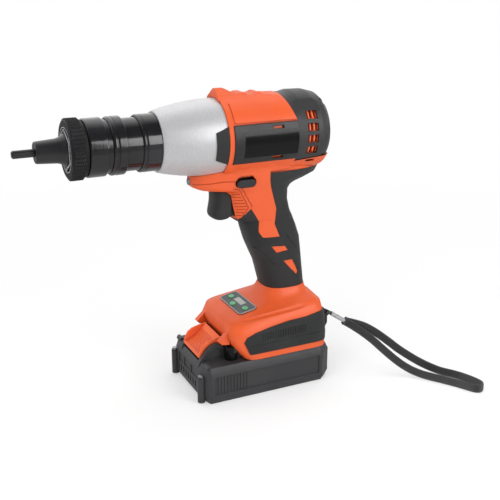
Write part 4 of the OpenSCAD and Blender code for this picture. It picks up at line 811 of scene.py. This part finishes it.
def labelPlate(end, side):
    d = plateDetail
    inner, reach = d["outer"] - d["thick"], d["reach"]
    shell = spun([(d["left"], d["outer"]), (d["right"], d["outer"]), (d["right"], inner), (d["left"], inner)], 256)
    block = bmesh.new()
    addBox(block, (d["left"] - 1, d["right"] + 1), sorted((0, side * reach)), (d["low"], d["high"]))
    plate = combined(shell, block, "INTERSECT")
    corner = bmesh.new()
    verts = addBox(corner, (-d["cut"], d["cut"]), (-reach, reach), (-d["cut"], d["cut"]))
    bmesh.ops.rotate(corner, verts=verts, cent=(0, 0, 0), matrix=Matrix.Rotation(math.radians(45), 3, "Y"))
    bmesh.ops.translate(corner, verts=verts, vec=(d["right"] * mm, 0, d["high"] * mm))
    plate = combined(plate, corner)
    finishPiece("side_panel_" + end, plate, "glossPanel", 30, "labelPlate" + end.title())


for end, side in sides.items():
    labelPlate(end, side)


# nose: turned parts with small rounded edges
noseRound = 0.3
noseParts = {
    # profiles of place along the barrel and radius
    "collar": [
        (-95.5, 20.22), (-95.5, 21.5), (-94.9, 22.15), (-93.6, 22.15), (-93.4, 21.5), (-92.6, 21.5),
        (-92.4, 22.15), (-91.7, 22.15), (-80.2, 22.15), (-73.3, 22.15), (-72.6, 22.15), (-72.6, 15.25),
        (-82.9, 15.25), (-82.9, 20.22)],
    "lock_ring": [
        (-118.5, 20.25), (-107.6, 20.25), (-107.6, 21.6), (-108.2, 22.3), (-108.9, 22.3), (-113.4, 22.3),
        (-114.1, 22.3), (-114.4, 21.6), (-115.4, 21.6), (-115.7, 22.3), (-117.5, 22.3), (-118.5, 21.3)],
    "nose_sleeve": [
        (-143, 18.6), (-142.2, 19.4), (-136.3, 19.4), (-136.3, 21.5), (-135.6, 22.2), (-134.9, 22.2),
        (-123.5, 22.2), (-122.8, 22.2), (-122.3, 21.7), (-122.3, 20.2), (-121.6, 20.2), (-83.6, 20.2),
        (-83, 20.2), (-83, 15), (-100, 15), (-100, 11), (-136.6, 11), (-136.6, 9.55), (-143, 9.55)],
}
for node, profile in noseParts.items():
    bm = spun(profile, 128)
    roundEdges(bm, noseRound, 25, 3)
    finishPiece(node, bm, "blackSteel", 50)


# nosepiece: cone, hexagon with an outline of painted highlight, thin ring of painted highlight in the mouth of the
# knurled ring
hexDetail = {
    # hexagons of corner radius, front and back; the second of each pair is cut out of the first
    "plate": ((15.85, -149.95, -143.8), (9.4, -160, -130)), "edge": ((16.0, -150.2, -149.7), (14.9, -160, -130)),
    "cone": [(-172.4, 3.3), (-172.4, 7.6), (-171.8, 8.2), (-156.5, 9.2), (-154, 9.9), (-152.2, 11.0), (-150.6, 12.0),
             (-149.8, 12.0), (-149.8, 9.5), (-136.9, 9.5), (-136.9, 3.3)],
    "coneRound": 0.25,
    "ring": [(-149.7, 16.4), (-149.7, 17.1), (-149.0, 17.1), (-149.0, 16.4)],
}


def hexBlock(r, x0, x1):
    bm = bmesh.new()
    bmesh.ops.create_cone(bm, cap_ends=True, segments=6, radius1=r * mm, radius2=r * mm, depth=(x1 - x0) * mm)
    turn = Matrix.Rotation(math.radians(90), 4, "Y") @ Matrix.Rotation(math.radians(90), 4, "Z")
    return moved(bm, Matrix.Translation(((x0 + x1) / 2 * mm, 0, axisZ * mm)) @ turn)


def makeNosepiece():
    d = hexDetail
    cone = spun(d["cone"])
    roundEdges(cone, d["coneRound"], 30, 2)
    finishPiece("nosepiece", cone, "satinBlack", 40)
    plate = combined(*(hexBlock(*sizes) for sizes in d["plate"]))
    finishPiece("nosepiece", plate, "satinBlack", 30, "nosepieceHex")
    outline = combined(*(hexBlock(*sizes) for sizes in d["edge"]))
    # the outline and the ring are pale grey: painted highlight
    finishPiece("nosepiece", outline, "paintedGlintSteel", 30, "nosepieceEdge")
    finishPiece("nosepiece", spun(d["ring"]), "paintedGlintSteel", 30, "nosepieceRing")


makeNosepiece()
print("nose ready")


# display: seat plate, printed cover with a pale rim, glass, buttons
displayDetail = {
    "length": 16.8, "width": 42.6, "corner": 3.4, "rim": 0.8, "rimHigh": (0.1, 0.9), "coverHigh": (0.3, 0.8),
    "glassU": (-0.3, 5.3), "glassV": (-6.6, 9.0), "glassClear": 0.03, "glassHigh": (0.3, 0.68),
    "buttons": {"up": (0.4, 14.4), "down": (-4.4, 1.2), "set": (-0.1, -14.8)}, "button": (2.6, 3.3),
    "buttonClear": 0.2, "buttonHigh": (0.25, 1.5), "buttonRound": 0.5, "through": (-3, 3),
}
onTop = Matrix.Translation((-0.0105, 0, 0.0696)) @ Matrix.Rotation(-math.atan(0.2), 4, "Y")


def roundedSlab(length, width, corner, high):
    bm = bmesh.new()
    addBox(bm, (-length / 2, length / 2), (-width / 2, width / 2), high)
    upright = [e for e in bm.edges if abs(e.verts[0].co.z - e.verts[1].co.z) > 0.1 * mm]
    bmesh.ops.bevel(bm, geom=upright, offset=corner * mm, offset_type="OFFSET", affect="EDGES", segments=6,
                    profile=0.5, material=-1)
    return bm


def ovalRod(bm, u, v, high, ru, rv):
    verts = addRod(bm, (0, 0, high[0]), (0, 0, high[1]), 1, segments=40)
    bmesh.ops.scale(bm, vec=(ru, rv, 1), verts=verts)
    bmesh.ops.translate(bm, vec=(u * mm, v * mm, 0), verts=verts)


def makeDisplay():
    d = displayDetail
    inside = (d["length"] - 2 * d["rim"], d["width"] - 2 * d["rim"], d["corner"] - d["rim"])
    smoothCopy("display_panel", "displayFace")
    holes = bmesh.new()
    ru, rv = d["button"]
    for u, v in d["buttons"].values():
        ovalRod(holes, u, v, d["through"], ru + d["buttonClear"], rv + d["buttonClear"])
    addBox(holes, d["glassU"], d["glassV"], d["through"])
    cover = combined(roundedSlab(*inside, d["coverHigh"]), holes)
    finishPiece("display_panel", moved(cover, onTop), "displayFace", 30, "displayCover")
    rim = roundedSlab(d["length"], d["width"], d["corner"], d["rimHigh"])
    rim = combined(rim, roundedSlab(*inside, d["through"]))
    finishPiece("display_panel", moved(rim, onTop), "paleRim", 30, "displayRim")
    glass = bmesh.new()
    (u0, u1), (v0, v1), gap = d["glassU"], d["glassV"], d["glassClear"]
    addBox(glass, (u0 + gap, u1 - gap), (v0 + gap, v1 - gap), d["glassHigh"])
    finishPiece("display_panel", moved(glass, onTop), "liquidCrystal", 30, "displayGlass")
    for name, (u, v) in d["buttons"].items():
        cap = bmesh.new()
        ovalRod(cap, u, v, d["buttonHigh"], ru, rv)
        roundEdges(cap, d["buttonRound"], 60, 3)
        finishPiece("button_" + name, moved(cap, onTop), "greenKey", 40)


makeDisplay()
print("display ready")


# foot guard: a row of small ribs and a crease
guardDetail = {
    "first": -5.0, "count": 18, "pitch": 2.35, "low": 48.6, "high": 55.0, "slope": 0.02, "rib": 0.42,
    "crease": 0.8, "creaseLift": 0.35, "creaseLine": [(-14, 45.3), (16.2, 46.1), (48, 46.2)],
}


def guardCutter():
    d = guardDetail
    node = "foot_guard_left"
    lines = []
    for k in range(d["count"]):
        x = d["first"] + k * d["pitch"]
        rise = k * d["pitch"] * d["slope"]
        lines.append(follow(node, [(x, d["low"] + rise), (x, d["high"] + rise)]))
    cutter = bmesh.new()
    addTubes(cutter, lines, d["rib"])
    addTubes(cutter, [follow(node, d["creaseLine"], 2.5, d["creaseLift"])], d["crease"])
    return cutter


bothSides("foot_guard", guardCutter, "guardRubber")


# grip skins: faint creases
gripDetail = {
    "crease": 0.6, "lift": 0.3,
    "lines": [
        [(-0.6, -4.4, 121), (1.1, -11.2, 122.1), (7.8, -14.6, 115.1), (16.3, -16.5, 103.7)],
        [(9.8, -7.5, 91.6), (12, -12.2, 92.6), (14.5, -14.8, 93.5), (18, -16.4, 93.2)],
        [(26, -17.3, 131.8), (32.2, -16.5, 122.7), (39.3, -14.3, 113.9), (42, -12.6, 108)],
    ],
}


def gripCutter():
    d = gripDetail
    cutter = bmesh.new()
    addTubes(cutter, [follow("grip_left", line, lift=d["lift"]) for line in d["lines"]], d["crease"])
    return cutter


bothSides("grip", gripCutter, "blackRubber", 48, True)
print("rubber ready")


# battery: panels and ribs on the front, grip ribs on the sides
batteryDetail = {
    "panels": ((10.9, 21.6), (-3.8, 9.2), (-20, -5.6)), "panelDeep": (-60, -56.9), "panelHigh": (16.8, 24.6),
    "ribCount": 9, "ribFirst": (-22.6, -20.4), "ribPitch": 5.4, "ribDeep": (-60, -56.7), "ribHigh": (8.2, 14.2),
    "groove": 0.55, "grooveLine": [(-57.7, -24.6, 15.5), (-57.7, 24.6, 15.5)],
    "side": (38.3, 41), "sideLong": (-49, 49), "sideHigh": (8.4, 24.2),
    "gripCount": 10, "gripFirst": -46.5, "gripPitch": 2.9, "gripHigh": (8.8, 23.6), "grip": 0.4,
    "towerSide": 21.6, "towerDeep": 2.0,
    "tower": [(-52.2, 32.2), (-50.2, 35.6), (-47.4, 39.2), (-43.8, 41.4), (-40, 42.3), (-37.4, 41.4), (-34.8, 39.2),
              (-33.6, 32.2)],
}


def coverCutter():
    d = batteryDetail
    cutter = bmesh.new()
    for panel in d["panels"]:
        addBox(cutter, d["panelDeep"], panel, d["panelHigh"])
    for k in range(d["ribCount"]):
        addBox(cutter, d["ribDeep"], [y + k * d["ribPitch"] for y in d["ribFirst"]], d["ribHigh"])
    addTubes(cutter, [d["grooveLine"]], d["groove"])
    ribs = []
    for side in sides.values():
        inner = side * d["side"][0]
        addBox(cutter, d["sideLong"], sorted((inner, side * d["side"][1])), d["sideHigh"])
        for k in range(d["gripCount"]):
            x = d["gripFirst"] + k * d["gripPitch"]
            ribs.append([(x, inner, d["gripHigh"][0]), (x, inner, d["gripHigh"][1])])
    addTubes(cutter, ribs, d["grip"])
    for side in sides.values():
        # hollow sides of the towers beside the latch
        face = cutter.faces.new([cutter.verts.new((x * mm, side * d["towerSide"] * mm, z * mm)) for x, z in d["tower"]])
        made = bmesh.ops.extrude_face_region(cutter, geom=[face])["geom"]
        bmesh.ops.translate(cutter, vec=(0, -side * d["towerDeep"] * mm, 0), verts=onlyVerts(made))
    tidyNormals(cutter)
    return cutter


finishPiece("battery_cover", carved("battery_cover", coverCutter()), "batteryShell")


# battery: steel collars on the posts, round contact covers beside the rail
trimDetail = {
    # place, heights, radius, points round it, rounding (amount, angle, steps), finish
    "postCollar": ((-58, 30), (22.7, 24.9), 2.5, 32, (0.4, 60, 2), "gearSteel"),
    "railCover": ((-28.6, 24.6), (31.9, 44.4), 5.4, 48, (0.8, 60, 3), "glossPanel"),
}
for name, ((x, y), (low, high), r, steps, rounding, finish) in trimDetail.items():
    for end, side in (("Far", 1), ("Near", -1)):
        bm = bmesh.new()
        addRod(bm, (x, side * y, low), (x, side * y, high), r, steps)
        roundEdges(bm, *rounding)
        finishPiece("battery_cover", bm, finish, 30, name + end)


# latch: ridges across the scoop
latchDetail = {
    "ridge": 0.5, "count": 10, "first": 0.4, "half": 15.4,  # first is a share of the ridges' pitch
    "scoop": [(-53.2, 36.8), (-51, 37.4), (-47.6, 38.9), (-44, 41), (-40.6, 43.8), (-38.2, 46.1)],
}


def latchCutter():
    d = latchDetail
    route = [Vector((x, 0, z)) for x, z in d["scoop"]]
    total = routeLength(route)
    lines = []
    for k in range(d["count"]):
        left = total * (k + d["first"]) / d["count"]
        for a, b in zip(route, route[1:]):
            if left <= (b - a).length:
                p = a.lerp(b, left / (b - a).length)
                lines.append([(p.x, -d["half"], p.z), (p.x, d["half"], p.z)])
                break
            left -= (b - a).length
    cutter = bmesh.new()
    addTubes(cutter, lines, d["ridge"])
    return cutter


# the latch's lighter orange is painted light
finishPiece("battery_latch", carved("battery_latch", latchCutter()), "orangeTrim")
print("battery ready")


# nodes copied as they are, with smooth shading
copied = {
    "side_panel_left": "blackPanel", "side_panel_right": "blackPanel", "side_pad_left": "blackRubber",
    "side_pad_right": "blackRubber", "gear_case": "silverPaint", "knurled_ring": "knurledSteel",
    "mandrel": "satinBlack", "led_lens": "clearLens", "battery_case": "batteryShell", "strap_lug": "blackShell",
}
for node, finish in copied.items():
    smoothCopy(node, finish)
smoothCopy("rear_cap", "capShell", 12)  # keeps its creases


# trigger: a rounded key with a hollow front, on the plunger of the switch
triggerDetail = {
    "outline": [(-35.8, 176.5), (-34.0, 169), (-34.4, 162), (-36.2, 155.5), (-36.8, 150.9), (-32.6, 147.6),
                (-26, 148.2), (-20.6, 149.0), (-20.6, 160), (-20.6, 172.0)],
    # place across and how far the front is drawn back there
    "stations": [(-10.6, 7.5), (-10.2, 5.0), (-8.6, 2.4), (-5.5, 0.6), (0, 0), (5.5, 0.6), (8.6, 2.4), (10.2, 5.0),
                 (10.6, 7.5)],
    "roundFrom": -27, "roundOver": 10, "liftUnder": 152, "lift": 0.25, "levels": 2,
    "plunger": ((-22.4, -11), (-8.5, 8.5), (150.8, 170.2)), "plungerRound": 0.6,
    "pin": ((-11.2, 0, 162), (-1, 0, 162)), "pinRadius": 2.4,
}


def makeTrigger():
    d = triggerDetail
    bm = bmesh.new()
    loops = []
    for y, back in d["stations"]:
        verts = []
        for x, z in d["outline"]:
            inwards = back * max(0, (d["roundFrom"] - x) / d["roundOver"])
            up = back * d["lift"] if z < d["liftUnder"] else 0
            verts.append(bm.verts.new(((x + inwards) * mm, y * mm, (z + up) * mm)))
        loops.append([bm.edges.new(pair) for pair in zip(verts, verts[1:] + verts[:1])])
    for one, two in zip(loops, loops[1:]):
        bmesh.ops.bridge_loops(bm, edges=one + two)
    for loop in (loops[0], loops[-1]):
        bmesh.ops.contextual_create(bm, geom=loop)
    bmesh.ops.recalc_face_normals(bm, faces=bm.faces)
    key = finishPiece("trigger", bm, "blackRubber", 180)
    soft = key.modifiers.new("soft", "SUBSURF")
    soft.levels = soft.render_levels = d["levels"]
    plunger = bmesh.new()
    addBox(plunger, *d["plunger"])
    roundEdges(plunger, d["plungerRound"], 60, 2)
    addRod(plunger, *d["pin"], d["pinRadius"])
    finishPiece("trigger", plunger, "blackShell", 30, "triggerPlunger")


makeTrigger()


# selector: the CAD's shape, a little smaller than its recess
selectorDetail = {"middle": (-12, 0, 180.4), "scale": (0.95, 1, 0.9), "drop": 0.7}


def makeSelector():
    d = selectorDetail
    middle = Vector(d["middle"]) * mm
    bm = cadCopy("selector")
    bmesh.ops.translate(bm, vec=-middle, verts=bm.verts)
    bmesh.ops.scale(bm, vec=d["scale"], verts=bm.verts)
    bmesh.ops.translate(bm, vec=middle - Vector((0, 0, d["drop"] * mm)), verts=bm.verts)
    finishPiece("selector", bm, "selectorShell", 40)


makeSelector()
print("pieces ready")


# floor, world and lamps
lampSettings = {
    # place, aim, size, power, and whether gloss shows it
    "key": ((-1.35, -0.78, 1.1), (0, 0, 0.14), (1.1, 0.9), 15, False),
    "strip": ((0.52, -0.872, 0.562), (-0.025, 0.015, 0.222), (0.78, 0.63), 6.2, True),
    "top": ((0.1, 0.3, 1.5), (0, 0, 0.1), (1.4, 1.0), 10, False),
}
worldSettings = {"seen": 1.0, "ambient": 0.42, "backdrop": (-0.05, 0.5, 0.06, 1.1)}
floorSettings = {"size": 6, "fade": (0.1, 0.75), "near": 0.38, "mirrored": 0.3, "mirroredShare": 0.8}


def makeFloor():
    d = floorSettings
    bm = bmesh.new()
    bmesh.ops.create_grid(bm, x_segments=1, y_segments=1, size=d["size"])
    mesh = bpy.data.meshes.new("floor")
    bm.to_mesh(mesh)
    bm.free()
    floor = bpy.data.objects.new("floor", mesh)
    bpy.context.scene.collection.objects.link(floor)
    f = Finish("floorPaper", (0.955, 0.955, 0.955, 1), 0.85, Specular_IOR_Level=0.1)
    f.tint(f.spread(f.noise(9, 3), 0.4, 0.8), (0.975, 0.975, 0.97, 1), 0.6)
    f.bump(f.noise(900, 3), 0.1)
    f.done()
    # white glow that grows away from the object, for rays that come from the camera, gloss or glass
    glow = f.add("ShaderNodeEmission")
    mix = f.add("ShaderNodeMixShader")
    rays = f.add("ShaderNodeLightPath")
    glossy = rays.outputs["Is Glossy Ray"]
    seen = f.maths("MAXIMUM", glossy, rays.outputs["Is Transmission Ray"])
    seen = f.maths("MAXIMUM", rays.outputs["Is Camera Ray"], seen)
    away = f.add("ShaderNodeVectorMath", operation="LENGTH")
    f.link(f.coords, away.inputs[0])
    far = f.maths("MULTIPLY", seen, f.spread(away.outputs["Value"], *d["fade"], d["near"]))
    # black gloss shows a darker floor than the eye does
    f.link(f.maths("MAXIMUM", far, f.maths("MULTIPLY", glossy, d["mirroredShare"])), mix.inputs["Fac"])
    f.link(f.spread(glossy, 0, 1, 1.0, d["mirrored"]), glow.inputs["Strength"])
    f.link(f.shader.outputs["BSDF"], mix.inputs[1])
    f.link(glow.outputs["Emission"], mix.inputs[2])
    f.link(mix.outputs["Shader"], f.tree.nodes["Material Output"].inputs["Surface"])
    mesh.materials.append(f.material)


def makeWorld():
    world = bpy.data.worlds.new("studio")
    bpy.context.scene.world = world
    world.use_nodes = True
    tree = world.node_tree
    background = tree.nodes["Background"]
    rays = tree.nodes.new("ShaderNodeLightPath")

    def mixed(factor, off, on):
        node = tree.nodes.new("ShaderNodeMix")
        tree.links.new(factor, node.inputs["Factor"])
        for socket, value in ((node.inputs[2], off), (node.inputs[3], on)):
            if isinstance(value, float):
                socket.default_value = value
            else:
                tree.links.new(value, socket)
        return node.outputs[0]

    direction = tree.nodes.new("ShaderNodeTexCoord")
    parts = tree.nodes.new("ShaderNodeSeparateXYZ")
    tree.links.new(direction.outputs["Generated"], parts.inputs["Vector"])
    backdrop = tree.nodes.new("ShaderNodeMapRange")
    for key, number in zip(("From Min", "From Max", "To Min", "To Max"), worldSettings["backdrop"]):
        backdrop.inputs[key].default_value = number
    tree.links.new(parts.outputs["Y"], backdrop.inputs["Value"])
    level = mixed(rays.outputs["Is Glossy Ray"], worldSettings["ambient"], backdrop.outputs["Result"])
    level = mixed(rays.outputs["Is Camera Ray"], level, worldSettings["seen"])
    background.inputs["Color"].default_value = (1, 1, 1, 1)
    tree.links.new(level, background.inputs["Strength"])


def makeLamps():
    for name, (place, aim, size, power, mirrored) in lampSettings.items():
        data = bpy.data.lights.new(name, "AREA")
        data.shape = "RECTANGLE"
        data.size, data.size_y = size
        data.energy = power
        light = bpy.data.objects.new(name, data)
        bpy.context.scene.collection.objects.link(light)
        light.location = place
        light.visible_glossy = mirrored
        light.rotation_mode = "QUATERNION"
        light.rotation_quaternion = (Vector(aim) - Vector(place)).to_track_quat("-Z", "Y")


makeFloor()
makeWorld()
makeLamps()
bpy.context.scene.view_settings.view_transform = "Standard"
print("studio ready")
